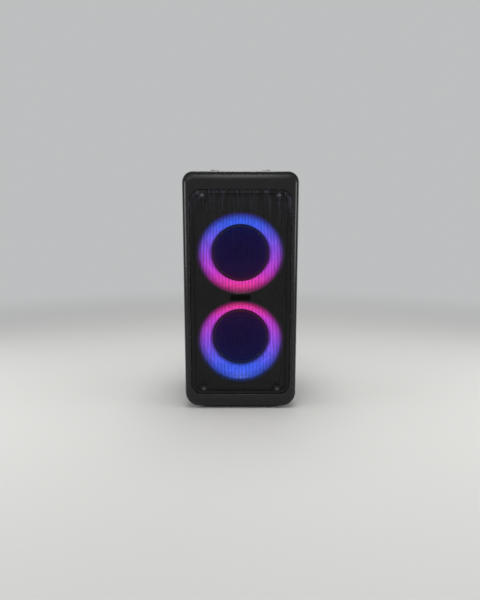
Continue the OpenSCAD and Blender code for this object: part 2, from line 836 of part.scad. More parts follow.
function io_screw_points() = [
    for (x = [-1, 0, 1], z = [-1, 1])
        [x * (io_w / 2 - 8), io_z + z * (io_l / 2 + io_flange / 2 + 1.2)]
];

io_post = [for (x = [-1, 1], z = [-1, 1]) [x * (io_w / 2 - 10), io_z + z * (io_l / 2 - 10)]];

module io_panel() {
    color(panel_black) difference() {
        union() {
            along_y(y_rear - io_t, y_rear) io_outline(io_flange);
            along_y(io_back_y, y_rear) io_outline(io_t);
            for (p = io_post) translate([p[0], 0, p[1]]) rod_y(4, amp_y, io_back_y + 1);
        }
        along_y(io_floor_y, y_rear + 1) io_outline();
        for (x = knob_x) translate([x, 0, knob_row_z]) rod_y(4, amp_y, y_rear);
        for (x = jack_x) translate([x, 0, jack_row_z]) rod_y(5.2, amp_y, y_rear);
        translate([aux_x, 0, jack_row_z]) rod_y(3.7, amp_y, y_rear);
        along_y(io_back_y - 1, io_floor_y + 1) {
            translate([usb_x, jack_row_z]) square([14.6, 7.2], center = true);
            translate([0, inlet_z]) square([24.6, 16.6], center = true);
        }
        for (p = io_screw_points()) translate([p[0], 0, p[1]]) {
            rod_y(screw_r + gap, y_rear - io_t - 1, y_rear + 1);
            translate([0, y_rear - 1.5, 0]) rotate([-90, 0, 0])
                cylinder(r1 = screw_r + 0.05, r2 = 3.15, h = 1.6);
        }
    }
}

module rear_screws() {
    color(steel_black) {
        for (p = io_screw_points())
            translate([p[0], y_rear, p[1]]) rotate([-90, 0, 0]) io_screw();
        for (s = [-1, 1], z = rear_post_z)
            translate([s * rear_post_x, y_rear - rear_screw_sink, z]) rotate([-90, 0, 0])
                screw(screw_r, rear_screw_l - 1, 3.4, 2);
    }
}

// A countersunk screw whose head stays inside the panel's face.
module io_screw() {
    difference() {
        union() {
            translate([0, 0, -9]) cylinder(r = screw_r, h = 9);
            translate([0, 0, -1.5]) cylinder(r1 = screw_r, r2 = 3, h = 1.5);
        }
        translate([0, 0, -1]) cylinder(r = 1, h = 2, $fn = 6);
    }
}

// A 6.35 mm socket: threaded bush with its nut, and the body behind the panel.
module instrument_jacks() {
    color([0.1, 0.1, 0.1])
        for (x = jack_x) translate([x, 0, jack_row_z]) difference() {
            union() {
                rod_y(5, io_back_y - eps, io_floor_y + 4);
                translate([0, io_floor_y + 3, 0]) rotate([90, 0, 0])
                    cylinder(r = 8, h = 3, $fn = 6);
                along_y(amp_y, io_back_y) square([16, 18], center = true);
            }
            rod_y(jack_r, amp_y + 2, io_floor_y + 5);
        }
}

module aux_jack() {
    color([0.1, 0.1, 0.1]) translate([aux_x, 0, jack_row_z]) difference() {
        union() {
            rod_y(3.5, io_back_y - eps, io_floor_y + 1.5);
            along_y(amp_y, io_back_y) square([9, 9], center = true);
        }
        rod_y(aux_r, io_floor_y - 13.5, io_floor_y + 2);
    }
}

module usb_port() {
    color(zinc) translate([usb_x, 0, jack_row_z]) {
        difference() {
            along_y(amp_y, io_floor_y + 0.5) square([14.2, 6.8], center = true);
            along_y(io_floor_y - 12, io_floor_y + 1) square([12.4, 5.1], center = true);
        }
        along_y(io_floor_y - 12.5, io_floor_y - 1) translate([0, 0.6]) square([11, 1.8], center = true);
    }
}

// A figure-8 mains inlet with its two pins.
inlet_r = 4.3;
inlet_pitch = 8.6;
module mains_inlet() {
    color([0.08, 0.08, 0.08]) translate([0, 0, inlet_z]) {
        difference() {
            union() {
                along_y(amp_y, io_floor_y + 0.5) square([24, 16], center = true);
                along_y(io_back_y - 2, io_back_y) square([32, 20], center = true);
            }
            along_y(io_floor_y - 14, io_floor_y + 1) {
                square([inlet_pitch, 2 * inlet_r], center = true);
                for (s = [-1, 1]) translate([s * inlet_pitch / 2, 0]) circle(inlet_r);
            }
        }
        for (s = [-1, 1]) translate([s * inlet_pitch / 2, 0, 0])
            rod_y(1.2, io_floor_y - 14 - eps, io_floor_y - 4);
    }
}

module potentiometers() {
    color([0.5, 0.5, 0.52])
        for (x = knob_x) translate([x, 0, knob_row_z]) difference() {
            union() {
                rod_y(3.9, io_back_y - eps, io_floor_y + 0.4);
                along_y(amp_y, io_back_y) square([17, 20], center = true);
            }
            rod_y(spindle_r + 0.06, io_back_y - 8, io_floor_y + 2);
        }
}

// A knob on its spindle. The spindle turns in the potentiometer's bush.
module knob(i) {
    y0 = io_floor_y + 0.8;
    color([0.16, 0.16, 0.17]) translate([knob_x[i], 0, knob_row_z]) difference() {
        union() {
            translate([0, y0, 0]) rotate([-90, 0, 0])
                cylinder(r1 = knob_r, r2 = knob_r - 1.2, h = knob_h);
            rod_y(spindle_r, io_back_y - 7.5, y0 + 1);
        }
        for (a = [0:30:330]) rotate([0, a, 0]) translate([knob_r + 0.4, 0, 0])
            rod_y(1.4, y0 + 3, y0 + knob_h + 1);
        rotate([0, knob_travel / 2, 0]) translate([-0.7, y0 + knob_h - 0.8, knob_r * 0.6])
            cube([1.4, 2, knob_r]);
    }
}

// ---------------------------------------------------------------- bass port

port_steps = 8;
module port_tube() {
    flare = [for (i = [0:port_steps]) let (a = 90 * i / port_steps)
        [port_r + port_flare * (1 - cos(a)), -port_flare * 1.3 * (1 - sin(a))]];
    flare_out = [for (i = [port_steps:-1:0]) flare[i] + [port_wall * cos(90 * i / port_steps),
        -port_wall * sin(90 * i / port_steps)]];
    color(panel_black) translate([0, y_rear, port_z]) rotate([-90, 0, 0]) {
        rotate_extrude() polygon(concat(
            [[port_r, -port_l]], flare, [[port_flange_r, 0], [port_flange_r, -port_wall]],
            flare_out, [[port_r + port_wall, -port_l]]));
    }
}

// ---------------------------------------------------------------- inside

amp_t = 1.6;
amp_w = io_w - 8;
amp_l = io_l - 8;
sink_w = 100;
sink_l = 46;
sink_d = 26;
sink_z = io_z + 30;
fins = 9;

amp_cap_pitch = 24;
amp_cap_drop = 30;                  // from the board's middle down to the capacitors
amp_cap_r = 9;
amp_cap_l = 30;
module amplifier_board() {
    color(board_green) {
        along_y(amp_y - amp_t, amp_y)
            translate([0, io_z]) square([amp_w, amp_l], center = true);
        // reservoir capacitors
        for (i = [-1.5:1.5]) translate([i * amp_cap_pitch, 0, io_z - amp_cap_drop])
            rod_y(amp_cap_r, amp_y - amp_t - amp_cap_l, amp_y - amp_t + eps);
    }
}

module heat_sink() {
    y1 = amp_y - amp_t;
    color([0.25, 0.25, 0.27]) translate([0, 0, sink_z]) {
        along_y(y1 - 5, y1) square([sink_w, sink_l], center = true);
        for (i = [0:fins - 1])
            along_y(y1 - sink_d, y1 - 5 + eps)
                translate([(i - (fins - 1) / 2) * (sink_w - 2.5) / (fins - 1), 0])
                    square([2.5, sink_l], center = true);
    }
}

supply_x = [-body_w / 2 + 46, -8];
supply_y = [-40, 70];
standoff_h = 6;
standoff_r = 4;
standoff_inset = 6;                 // from the board's corner
transformer_x = 14;                 // from the board's left end
transformer_y = 5;
transformer_w = 36;
transformer_h = 30.4;
supply_cap_r = 9;
supply_cap_h = 28;
supply_cap_x = 22;                  // from the board's right end
supply_cap_y = [-26, -4, 54];
supply_sink = [4, 44, 24.4];
supply_sink_x = 62;
module supply_standoffs() {
    for (x = [supply_x[0] + standoff_inset, supply_x[1] - standoff_inset],
         y = [supply_y[0] + standoff_inset, supply_y[1] - standoff_inset])
        translate([x, y, floor_z]) cylinder(r = standoff_r, h = standoff_h + eps);
}

module power_supply() {
    z0 = floor_z + standoff_h;
    z1 = z0 + board_t;
    color([0.75, 0.6, 0.25]) {
        supply_standoffs();
        block(supply_x[0], supply_x[1], supply_y[0], supply_y[1], z0, z1);
        block(supply_x[0] + transformer_x, supply_x[0] + transformer_x + transformer_w,
              transformer_y, transformer_y + transformer_w, z1 - eps, z1 + transformer_h);
        for (y = supply_cap_y) translate([supply_x[1] - supply_cap_x, y, z1 - eps])
            cylinder(r = supply_cap_r, h = supply_cap_h);
        translate([supply_x[0] + supply_sink_x, 0, z1 - eps]) cube(supply_sink);
    }
}

cell_r = 9.2;
cell_l = 65;
cell_pitch = 19;
pack_x = 26;
pack_y = 0;
tray_t = 2;
pack_w = 3 * cell_pitch + 2 * cell_r;
module battery_pack() {
    color([0.1, 0.35, 0.6])
        for (i = [0:3], j = [0:1])
            translate([pack_x + tray_t + gap + cell_r + i * cell_pitch, 0,
                       floor_z + tray_t + gap + cell_r + j * cell_pitch])
                rod_y(cell_r, pack_y + tray_t + gap, pack_y + tray_t + gap + cell_l);
}

module battery_tray() {
    w = pack_w + 2 * gap + 2 * tray_t;
    d = cell_l + 2 * gap + 2 * tray_t;
    h = tray_t + cell_pitch + 2 * cell_r + 2 * gap;
    color([0.3, 0.3, 0.3]) difference() {
        union() {
            block(pack_x, pack_x + w, pack_y, pack_y + d, floor_z, floor_z + h);
            // strap over the cells
            block(pack_x - 12, pack_x + w + 12, pack_y + d / 2 - 12, pack_y + d / 2 + 12,
                  floor_z, floor_z + h + tray_t);
        }
        block(pack_x + tray_t, pack_x + w - tray_t, pack_y + tray_t, pack_y + d - tray_t,
              floor_z + tray_t, floor_z + h);
        for (s = [pack_x - 13, pack_x + w]) block(s, s + 13, pack_y - 1, pack_y + d + 1,
              floor_z + tray_t, floor_z + h + tray_t + 1);
        for (s = [0, 1]) block(pack_x + tray_t, pack_x + w - tray_t,
              s == 0 ? pack_y + tray_t : pack_y + d / 2 + 12,
              s == 0 ? pack_y + d / 2 - 12 : pack_y + d - tray_t, floor_z + tray_t,
              floor_z + h + tray_t + 1);
    }
}

// ---------------------------------------------------------------- wiring

wire_r = 1.8;
wire_sides = 8;
wire_gap = 0.6;      // between a wire's end and its solder pad

// A tube swept along points: each ring stands across the run between its neighbours.
module wire(points) {
    n = len(points);
    function along(i) = points[min(i + 1, n - 1)] - points[max(i - 1, 0)];
    function unit(v) = v / norm(v);
    function side(i) = unit(cross(along(i), [0.31, 0.17, 0.93]));
    function up(i) = unit(cross(side(i), along(i)));
    rings = [for (i = [0:n - 1], k = [0:wire_sides - 1])
        let (a = 360 * k / wire_sides)
        points[i] + wire_r * (cos(a) * side(i) + sin(a) * up(i))];
    faces = concat(
        [[for (k = [wire_sides - 1:-1:0]) k]],
        [for (i = [0:n - 2], k = [0:wire_sides - 1]) let (m = (k + 1) % wire_sides)
            [i * wire_sides + m, (i + 1) * wire_sides + m,
             (i + 1) * wire_sides + k, i * wire_sides + k]],
        [[for (k = [0:wire_sides - 1]) (n - 1) * wire_sides + k]]
    );
    polyhedron(rings, faces);
}

// Points of a smooth run from a to b whose ends point along da and db.
function run(a, da, b, db, steps = 12) = [for (i = [0:steps]) let (t = i / steps, u = 1 - t)
    u * u * u * a + 3 * u * u * t * (a + da) + 3 * u * t * t * (b + db) + t * t * t * b];

module wiring() {
    board_front = amp_y - amp_t - wire_gap;
    color([0.7, 0.1, 0.1]) {
        // one lead to each driver, from the board to the back of the magnet
        for (i = [0, 1])
            wire(run([-72 + 10 * i, board_front, io_z - 8], [-10, -60, 0],
                     [-28, cup_y - magnet_back_z + wire_gap, driver_z[i]], [-10, 46, 0]));
    }
}

cabinet_shell();
rear_cover();
front_frame();
front_baffle();
grille();
badge();
grille_screws();
baffle_screws();
rear_screws();
feet();
feet_screws();
light_ring(driver_z[0]);  // lower_light_ring
light_ring(driver_z[1]);  // upper_light_ring
led_board(driver_z[0]);  // lower_led_board
led_board(driver_z[1]);  // upper_led_board
basket(driver_z[0]);  // lower_basket
basket(driver_z[1]);  // upper_basket
magnet(driver_z[0]);  // lower_magnet
magnet(driver_z[1]);  // upper_magnet
surround(driver_z[0]);  // lower_surround
surround(driver_z[1]);  // upper_surround
cone(driver_z[0]);  // lower_cone
cone(driver_z[1]);  // upper_cone
dust_cap(driver_z[0]);  // lower_dust_cap
dust_cap(driver_z[1]);  // upper_dust_cap
spider(driver_z[0]);  // lower_spider
spider(driver_z[1]);  // upper_spider
voice_coil(driver_z[0]);  // lower_voice_coil
voice_coil(driver_z[1]);  // upper_voice_coil
woofer_gaskets();
top_panel();
handle_brackets();
handle_pins();
handle_bail();
handle_bumpers();
control_board();
status_lights();
push_button(0);  // power_button
push_button(1);  // pairing_button
push_button(2);  // volume_down_button
push_button(3);  // play_button
push_button(4);  // volume_up_button
push_button(5);  // bass_button
push_button(6);  // light_button
io_panel();
instrument_jacks();
aux_jack();
usb_port();
mains_inlet();
potentiometers();
knob(0);  // mic_knob
knob(1);  // guitar_knob
knob(2);  // echo_knob
port_tube();
amplifier_board();
heat_sink();
power_supply();
battery_pack();
battery_tray();
wiring();
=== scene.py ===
from math import asin, copysign, cos, pi, radians, sin, sqrt

import bmesh
import bpy
from mathutils import Matrix, Vector


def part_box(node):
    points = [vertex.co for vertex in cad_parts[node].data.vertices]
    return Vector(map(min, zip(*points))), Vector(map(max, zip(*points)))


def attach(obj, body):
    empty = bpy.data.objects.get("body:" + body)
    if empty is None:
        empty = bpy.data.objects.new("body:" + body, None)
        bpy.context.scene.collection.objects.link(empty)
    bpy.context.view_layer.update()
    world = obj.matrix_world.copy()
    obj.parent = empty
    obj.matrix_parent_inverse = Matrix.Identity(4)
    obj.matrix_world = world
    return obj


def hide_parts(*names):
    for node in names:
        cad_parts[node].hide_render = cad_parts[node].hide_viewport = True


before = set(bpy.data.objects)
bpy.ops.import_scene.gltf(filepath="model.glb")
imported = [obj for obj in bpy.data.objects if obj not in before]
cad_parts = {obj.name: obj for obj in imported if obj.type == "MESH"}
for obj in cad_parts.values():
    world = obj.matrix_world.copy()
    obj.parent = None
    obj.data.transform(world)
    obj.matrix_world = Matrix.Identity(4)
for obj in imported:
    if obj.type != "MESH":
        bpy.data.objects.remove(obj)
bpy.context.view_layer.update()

mm = 0.001
tip = 0.02 * mm          # how near a turned profile comes to its axis
scene = bpy.context.scene


def sizes(**lengths):
    # a piece's lengths, given in millimetres and kept in metres
    return {name: length * mm for name, length in lengths.items()}


def middle(name):
    low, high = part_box(name)
    return (Vector(low) + Vector(high)) / 2


def linearColour(code):
    # an sRGB hex value as linear red, green and blue, with alpha
    channels = [int(code[i:i + 2], 16) / 255 for i in (1, 3, 5)]
    return [c / 12.92 if c <= 0.04045 else ((c + 0.055) / 1.055) ** 2.4 for c in channels] + [1.0]


def wire(node, inputs):
    # fills or links a node's inputs by name or number
    for key, value in inputs.items():
        if isinstance(value, bpy.types.NodeSocket):
            node.id_data.links.new(value, node.inputs[key])
        else:
            node.inputs[key].default_value = value


def addNode(tree, kind, inputs=None, **settings):
    # adds a node, sets its options, wires its inputs and gives its outputs; a kind with no family of
    # its own is a shader node, which geometry trees share
    family = "" if kind.startswith(("Geometry", "Function", "NodeGroup")) else "ShaderNode"
    node = tree.nodes.new(family + kind)
    for key, value in settings.items():
        setattr(node, key, value)
    wire(node, inputs or {})
    return node.outputs


def addObject(name, data):
    thing = bpy.data.objects.new(name, data)
    scene.collection.objects.link(thing)
    return thing


# ---- camera, lights and backdrop

view = {"distance": 1.24, "eyeHeight": 0.492, "pitch": 8.0, "lens": 26.88, "side": -0.0014}
studio = {"floorColour": "#C8C8C5", "worldColour": "#E4E5E6", "worldLight": 0.30, "backdrop": 0.66,
          "fadeStart": 0.6, "fadeEnd": 3.0, "floorRadius": 9.0, "floorSides": 64}
softboxes = [
    # name, place, aimed at, width, height, watts
    ("roofBox", (0, -0.1, 3.2), (0, 0, 0), 3.0, 3.0, 32),
    ("keyBox", (-1.2, -2.4, 2.2), (0, 0, 0.35), 0.9, 0.9, 4),
    ("leftBox", (-1.70, -0.30, 0.68), (-0.1, -0.12, 0.48), 1.5, 0.80, 16),
    ("rightBox", (1.70, -0.30, 0.68), (0.1, -0.12, 0.48), 1.5, 0.80, 16),
    ("topBox", (0, -0.10, 1.85), (0, -0.14, 0.67), 0.42, 1.5, 13),
    ("browBox", (0, -1.15, 1.55), (0, -0.14, 0.66), 0.42, 0.55, 1.6),
    ("rearBox", (0.6, 2.4, 2.2), (0, 0, 0.35), 1.5, 1.5, 8),
]

camera = addObject("camera", bpy.data.cameras.new("camera"))
camera.data.lens = view["lens"]
camera.location = (view["side"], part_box("front_frame")[0].y - view["distance"], view["eyeHeight"])
camera.rotation_euler = (radians(90 - view["pitch"]), 0, 0)
scene.camera = camera

for name, place, target, width, height, watts in softboxes:
    lamp = addObject(name, bpy.data.lights.new(name, "AREA"))
    lamp.data.shape = "RECTANGLE"
    lamp.data.size, lamp.data.size_y, lamp.data.energy = width, height, watts
    lamp.location = place
    lamp.rotation_euler = (Vector(target) - Vector(place)).to_track_quat("-Z", "Y").to_euler()


def seenRay(tree):
    # 1 for rays that look at the backdrop, straight or by gloss or glass
    paths = addNode(tree, "LightPath")
    seen = paths["Is Camera Ray"]
    for kind in ("Is Transmission Ray", "Is Glossy Ray"):
        seen = addNode(tree, "Math", {0: seen, 1: paths[kind]}, operation="MAXIMUM")[0]
    return seen


scene.world = bpy.data.worlds.new("studioAir")
scene.world.use_nodes = True
air = scene.world.node_tree
wire(air.nodes["Background"], {
    "Color": linearColour(studio["worldColour"]),
    "Strength": addNode(air, "MapRange", {
        "Value": seenRay(air), "To Min": studio["worldLight"], "To Max": studio["backdrop"]})[0]})
scene.view_settings.view_transform = "Standard"


# ---- materials

def newMaterial(name, colour, roughness, metallic=0.0, ior=1.5, specular=0.5):
    material = bpy.data.materials.new(name)
    material.use_nodes = True
    tree = material.node_tree
    shader = tree.nodes["Principled BSDF"]
    wire(shader, {"Base Color": linearColour(colour), "Roughness": roughness, "Metallic": metallic,
                  "IOR": ior, "Specular IOR Level": specular})
    return material, tree, shader, addNode(tree, "TexCoord")["Object"]


def perMetre(size):
    # texture scale that gives features of this many millimetres
    return 1000 / size


def vary(tree, shader, coords, colour, roughness, patch=40, tint=0.1, spread=0.04):
    # slow drift of colour and roughness over patches of this many millimetres
    cloud = addNode(tree, "TexNoise", {
        "Vector": coords, "Scale": perMetre(patch), "Detail": 4.0, "Roughness": 0.65})[0]
    shade = addNode(tree, "ValToRGB", {"Fac": cloud})[0]
    for element, position, factor in zip(shade.node.color_ramp.elements, (0.3, 0.7), (1 - tint, 1 + tint)):
        element.position = position
        element.color = [min(c * factor, 1) for c in linearColour(colour)[:3]] + [1]
    rough = addNode(tree, "MapRange", {
        "Value": cloud, "From Min": 0.3, "From Max": 0.7,
        "To Min": roughness - spread, "To Max": roughness + spread})[0]
    wire(shader, {"Base Color": shade, "Roughness": rough})


def grainBump(tree, shader, coords, grain, height, strength=0.5):
    # raised grain of this many millimetres across and high
    noise = addNode(tree, "TexNoise", {
        "Vector": coords, "Scale": perMetre(grain), "Detail": 2.0, "Roughness": 0.55})[0]
    wire(shader, {"Normal": addNode(tree, "Bump", {
        "Height": noise, "Strength": strength, "Distance": height * mm})[0]})


def plainFinish(name, colour, roughness, grain, height, metallic=0.0, ior=1.5, patch=40, tint=0.1,
                spread=0.04, strength=0.5, specular=0.5, sheen=0.0):
    material, tree, shader, coords = newMaterial(name, colour, roughness, metallic, ior, specular)
    wire(shader, {"Sheen Weight": sheen, "Sheen Roughness": 0.35})
    vary(tree, shader, coords, colour, roughness, patch, tint, spread)
    grainBump(tree, shader, coords, grain, height, strength)
    return material


finishes = {
    # injection-moulded ABS, spark-eroded mould: an even satin, its fine grain drawn at 1.1 mm so that it
    # shows; it scatters light that grazes it, which lightens the rolled edges
    "shellPlastic": plainFinish("satinTexturedAbs", "#0A0A0D", 0.27, 1.1, 0.010, ior=1.53, patch=70,
                                strength=0.3, specular=0.37, sheen=0.22),
    # ABS from a smoother mould, for the control and connector panels
    "panelPlastic": plainFinish("fineTexturedAbs", "#0C0C0F", 0.36, 0.8, 0.03, ior=1.53, patch=50,
                                specular=0.42),
    # polished polycarbonate: deep black with clean reflections
    "badge": plainFinish("polishedPolycarbonate", "#030304", 0.10, 3.0, 0.01, ior=1.58, spread=0.02,
                         specular=0.07),
    # black oxide on steel: dark with a dull metal glint
    "blackScrew": plainFinish("blackOxideSteel", "#5A5B60", 0.30, 0.5, 0.03, metallic=1.0, patch=6),
    # bright zinc plate, slightly brushed by tumbling
    "zincScrew": plainFinish("zincPlatedSteel", "#B9BBC0", 0.30, 0.6, 0.03, metallic=1.0, patch=8),
    # moulded nitrile rubber: dull, with bloom in patches
    "rubber": plainFinish("mouldedNitrileRubber", "#141414", 0.78, 0.9, 0.08, ior=1.52, patch=12,
                          tint=0.2, spread=0.08),
    # closed-cell foam: matt and pitted
    "foam": plainFinish("closedCellFoam", "#1A1A1A", 0.9, 0.7, 0.2, ior=1.45),
    # die-cast zinc, blasted and dark lacquered
    "bracket": plainFinish("blastedDieCastZinc", "#3C3D41", 0.36, 0.7, 0.05, metallic=0.9, patch=14),
    # turned steel pin, lightly oiled
    "pin": plainFinish("turnedSteel", "#AEB0B5", 0.24, 0.5, 0.02, metallic=1.0, patch=10),
    # thermoplastic rubber over nylon: soft-touch black
    "handle": plainFinish("softTouchElastomer", "#19191B", 0.62, 0.7, 0.06, ior=1.5, patch=30,
                          tint=0.14, spread=0.07),
    # silicone key caps: dark grey, dull
    "key": plainFinish("siliconeKeycap", "#26262A", 0.58, 0.8, 0.05, ior=1.43, patch=9),
    # pad-printed ink: flat pale grey
    "print": plainFinish("padPrintedInk", "#C9CACC", 0.6, 0.5, 0.01, patch=5, tint=0.04),
    # turned and fluted ABS knob
    "knob": plainFinish("satinAbsKnob", "#1E1E21", 0.42, 0.8, 0.04, ior=1.53, patch=12),
    # pressed steel basket, black stove enamel
    "basket": plainFinish("stoveEnamelledSteel", "#0E0E12", 0.42, 1.2, 0.04, ior=1.52, patch=25,
                          specular=0.16),
    # sintered ferrite with steel plates: dark grey, slightly porous
    "magnet": plainFinish("sinteredFerrite", "#3A3A3E", 0.5, 0.9, 0.06, metallic=0.4, patch=16),
    # butyl rubber half roll: soft sheen; its blue-black tint is painted violet light from the rings
    "surround": plainFinish("butylRubber", "#120F24", 0.62, 0.8, 0.04, ior=1.52, patch=12, specular=0.15),
    # cotton soaked in phenolic resin
    "spider": plainFinish("phenolicCotton", "#9A7B3F", 0.8, 0.6, 0.10, patch=8, tint=0.2),
    # enamelled copper wire
    "copper": plainFinish("enamelledCopper", "#B0693A", 0.3, 0.3, 0.03, metallic=1.0, patch=4),
    # glass epoxy board under green solder mask
    "greenBoard": plainFinish("glassEpoxyBoard", "#14512E", 0.35, 1.0, 0.03, ior=1.55, patch=10, tint=0.25),
    # paper phenolic board, tan
    "tanBoard": plainFinish("paperPhenolicBoard", "#A8874A", 0.5, 1.0, 0.03, ior=1.55, patch=12, tint=0.2),
    # white solder mask
    "whiteBoard": plainFinish("whiteSolderMask", "#DADAD5", 0.4, 1.0, 0.02, ior=1.55, patch=15, tint=0.05),
    # glass-filled nylon sockets: dark, a little glossy
    "socket": plainFinish("glassFilledNylon", "#0E0E10", 0.38, 0.6, 0.03, ior=1.53, patch=8),
    # nickel-plated brass nut
    "nickel": plainFinish("nickelPlatedBrass", "#C4C2BC", 0.2, 0.8, 0.02, metallic=1.0, patch=6),
    # extruded and black-anodised aluminium
    "heatSink": plainFinish("blackAnodisedAluminium", "#2B2B2E", 0.42, 0.8, 0.04, metallic=0.7, patch=12),
    # PVC heat-shrink sleeve over the cells
    "cellWrap": plainFinish("pvcShrinkWrap", "#1C5A94", 0.3, 2.0, 0.04, ior=1.54, patch=14),
    # PVC wire insulation
    "wire": plainFinish("pvcInsulation", "#A41F1F", 0.38, 1.0, 0.03, ior=1.54, patch=10),
    # polystyrene standoffs and trays
    "tray": plainFinish("blackPolystyreneTray", "#1A1A1C", 0.5, 1.0, 0.04, ior=1.59),
}


ringLamp = sizes(inner=82, outer=117.5, wander=10) | {
    "wide": 1.042, "tall": 0.95, "foot": 1.05, "strength": 1.65, "spill": 0.55,
    "hues": [(0.0, "#E43478"), (0.10, "#D63294"), (0.26, "#B436BE"), (0.50, "#8845CE"),
             (0.70, "#5C4ED4"), (0.86, "#3454D8"), (1.0, "#2857DC")]}


def ringField(tree, coords):
    # the lamps' colour at each height: blue at the outer ends of the front, through violet to pink
    # between the drivers; with it the distance from the nearer ring's axis, and a mask of the
    # faces turned to the front, because the backs stay dark
    low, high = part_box("lower_light_ring"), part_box("upper_light_ring")
    halfway = (low[0].z + high[1].z) / 2
    centre = middle("upper_light_ring").z - halfway
    axes = addNode(tree, "SeparateXYZ", {0: coords})
    height = addNode(tree, "Math", {0: axes["Z"], 1: halfway}, operation="SUBTRACT")[0]
    reach = addNode(tree, "Math", {0: height}, operation="ABSOLUTE")[0]
    drift = addNode(tree, "TexNoise", {"Vector": coords, "Scale": perMetre(30), "Detail": 1.0})[0]
    wander = addNode(tree, "Math", {0: drift, 1: ringLamp["wander"], 2: reach},
                     operation="MULTIPLY_ADD")[0]
    hue = addNode(tree, "ValToRGB", {"Fac": addNode(tree, "MapRange", {
        "Value": wander, "From Min": centre - ringLamp["outer"] + ringLamp["wander"],
        "From Max": centre + ringLamp["outer"]})[0]})[0]
    stops = hue.node.color_ramp.elements
    while len(stops) < len(ringLamp["hues"]):
        stops.new(0.5)
    for stop, (position, code) in zip(stops, ringLamp["hues"]):
        stop.position, stop.color = position, linearColour(code)
    across = addNode(tree, "Math", {0: reach, 1: centre}, operation="SUBTRACT")[0]
    flat = addNode(tree, "CombineXYZ", {"X": axes["X"], "Y": across})[0]
    # the glow is oval, and reaches lowest under the lower ring
    tall = addNode(tree, "MapRange", {
        "Value": axes["Z"], "From Min": low[0].z, "From Max": halfway - centre,
        "To Min": ringLamp["foot"], "To Max": ringLamp["tall"]})[0]
    shape = addNode(tree, "CombineXYZ", {"X": ringLamp["wide"], "Y": tall, "Z": 1.0})[0]
    oval = addNode(tree, "VectorMath", {0: flat, 1: shape}, operation="DIVIDE")[0]
    radius = addNode(tree, "VectorMath", {0: oval}, operation="LENGTH")["Value"]
    facing = addNode(tree, "TexCoord")["Normal"]
    front = addNode(tree, "MapRange", {
        "Value": addNode(tree, "SeparateXYZ", {0: facing})["Y"], "From Min": 0.05, "From Max": -0.1})[0]
    return hue, radius, front


def ringLight(tree, coords):
    # the horns' own glow, strongest near the throat and soft at both edges
    hue, radius, front = ringField(tree, coords)
    start, band = ringLamp["inner"], ringLamp["outer"] - ringLamp["inner"]
    rise, fall = [addNode(tree, "MapRange", {
        "Value": radius, "From Min": start + begin * band, "From Max": start + end * band,
        "To Min": first, "To Max": last}, interpolation_type="SMOOTHSTEP")[0]
        for begin, end, first, last in ((-0.04, 0.16, 0.25, 1.0), (0.3, 1.12, 1.0, 0.0))]
    # soft upright streaks in the light
    drawn = addNode(tree, "Mapping", {"Vector": coords, "Scale": (1, 1, 0.14)})[0]
    streaks = addNode(tree, "TexNoise", {
        "Vector": drawn, "Scale": perMetre(7), "Detail": 2.0, "Roughness": 0.6})[0]
    streak = addNode(tree, "MapRange", {
        "Value": streaks, "From Min": 0.32, "From Max": 0.68, "To Min": 0.74, "To Max": 1.2})[0]
    return hue, front, rise, fall, streak


def glow(shader, strength, colour, *factors):
    # makes the surface glow with a colour times these factors: a lamp's own light, or painted light on a part
    # that is no lamp
    for factor in factors:
        colour = addNode(shader.id_data, "VectorMath", {0: colour, 1: factor}, operation="MULTIPLY")[0]
    wire(shader, {"Emission Color": colour, "Emission Strength": strength})


def paintedRingSpill(material, tint, low, high):
    # painted glow of the ring's light on the driver in its middle, stronger towards the ring
    tree = material.node_tree
    hue, radius, front = ringField(tree, addNode(tree, "TexCoord")["Object"])
    near = addNode(tree, "MapRange", {
        "Value": radius, "From Max": ringLamp["inner"], "To Min": low, "To Max": high})[0]
    glow(tree.nodes["Principled BSDF"], 1.0, hue, linearColour(tint)[:3], near, front)
    return material


def grilleCoat():
    # powder coat on punched steel: satin black with fine orange peel and faint lighter upright streaks
    material, tree, shader, coords = newMaterial("powderCoatedSteel", "#0A0A0D", 0.42, ior=1.52,
                                                 specular=0.25)
    drawn = addNode(tree, "Mapping", {"Vector": coords, "Scale": (1, 1, 0.07)})[0]
    marks = addNode(tree, "TexNoise", {"Vector": drawn, "Scale": perMetre(4), "Detail": 2.0})[0]
    amount = addNode(tree, "MapRange", {"Value": marks, "From Min": 0.48, "From Max": 0.66})[0]
    # the streaks are strongest near the top
    height = addNode(tree, "SeparateXYZ", {0: coords})["Z"]
    share = addNode(tree, "MapRange", {
        "Value": height, "From Min": 0.50, "From Max": 0.60, "To Min": 0.12, "To Max": 1.0},
        interpolation_type="SMOOTHSTEP")[0]
    depth = addNode(tree, "Math", {0: amount, 1: share}, operation="MULTIPLY")[0]
    wire(shader, {"Base Color": addNode(tree, "Mix", {
        0: depth, 6: linearColour("#060608"), 7: linearColour("#3A3A46")}, data_type="RGBA")[2]})
    grainBump(tree, shader, coords, 1.4, 0.04, strength=0.4)
    return material


def ringGlow():
    # opal polycarbonate horn lit from behind: milky, with no hard hot spots
    material, tree, shader, coords = newMaterial("opalPolycarbonate", "#2A2340", 0.35, ior=1.58)
    glow(shader, ringLamp["strength"], *ringLight(tree, coords))
    grainBump(tree, shader, coords, 2.0, 0.03)
    return material


def baffleGlow():
    # high-impact polystyrene, plain tool finish: black, with the rings' light painted on it as a glow
    material, tree, shader, coords = newMaterial("mouldedPolystyrene", "#08080A", 0.55, ior=1.59)
    vary(tree, shader, coords, "#08080A", 0.55)
    glow(shader, ringLamp["strength"] * ringLamp["spill"], *ringLight(tree, coords))
    grainBump(tree, shader, coords, 1.5, 0.06)
    return material


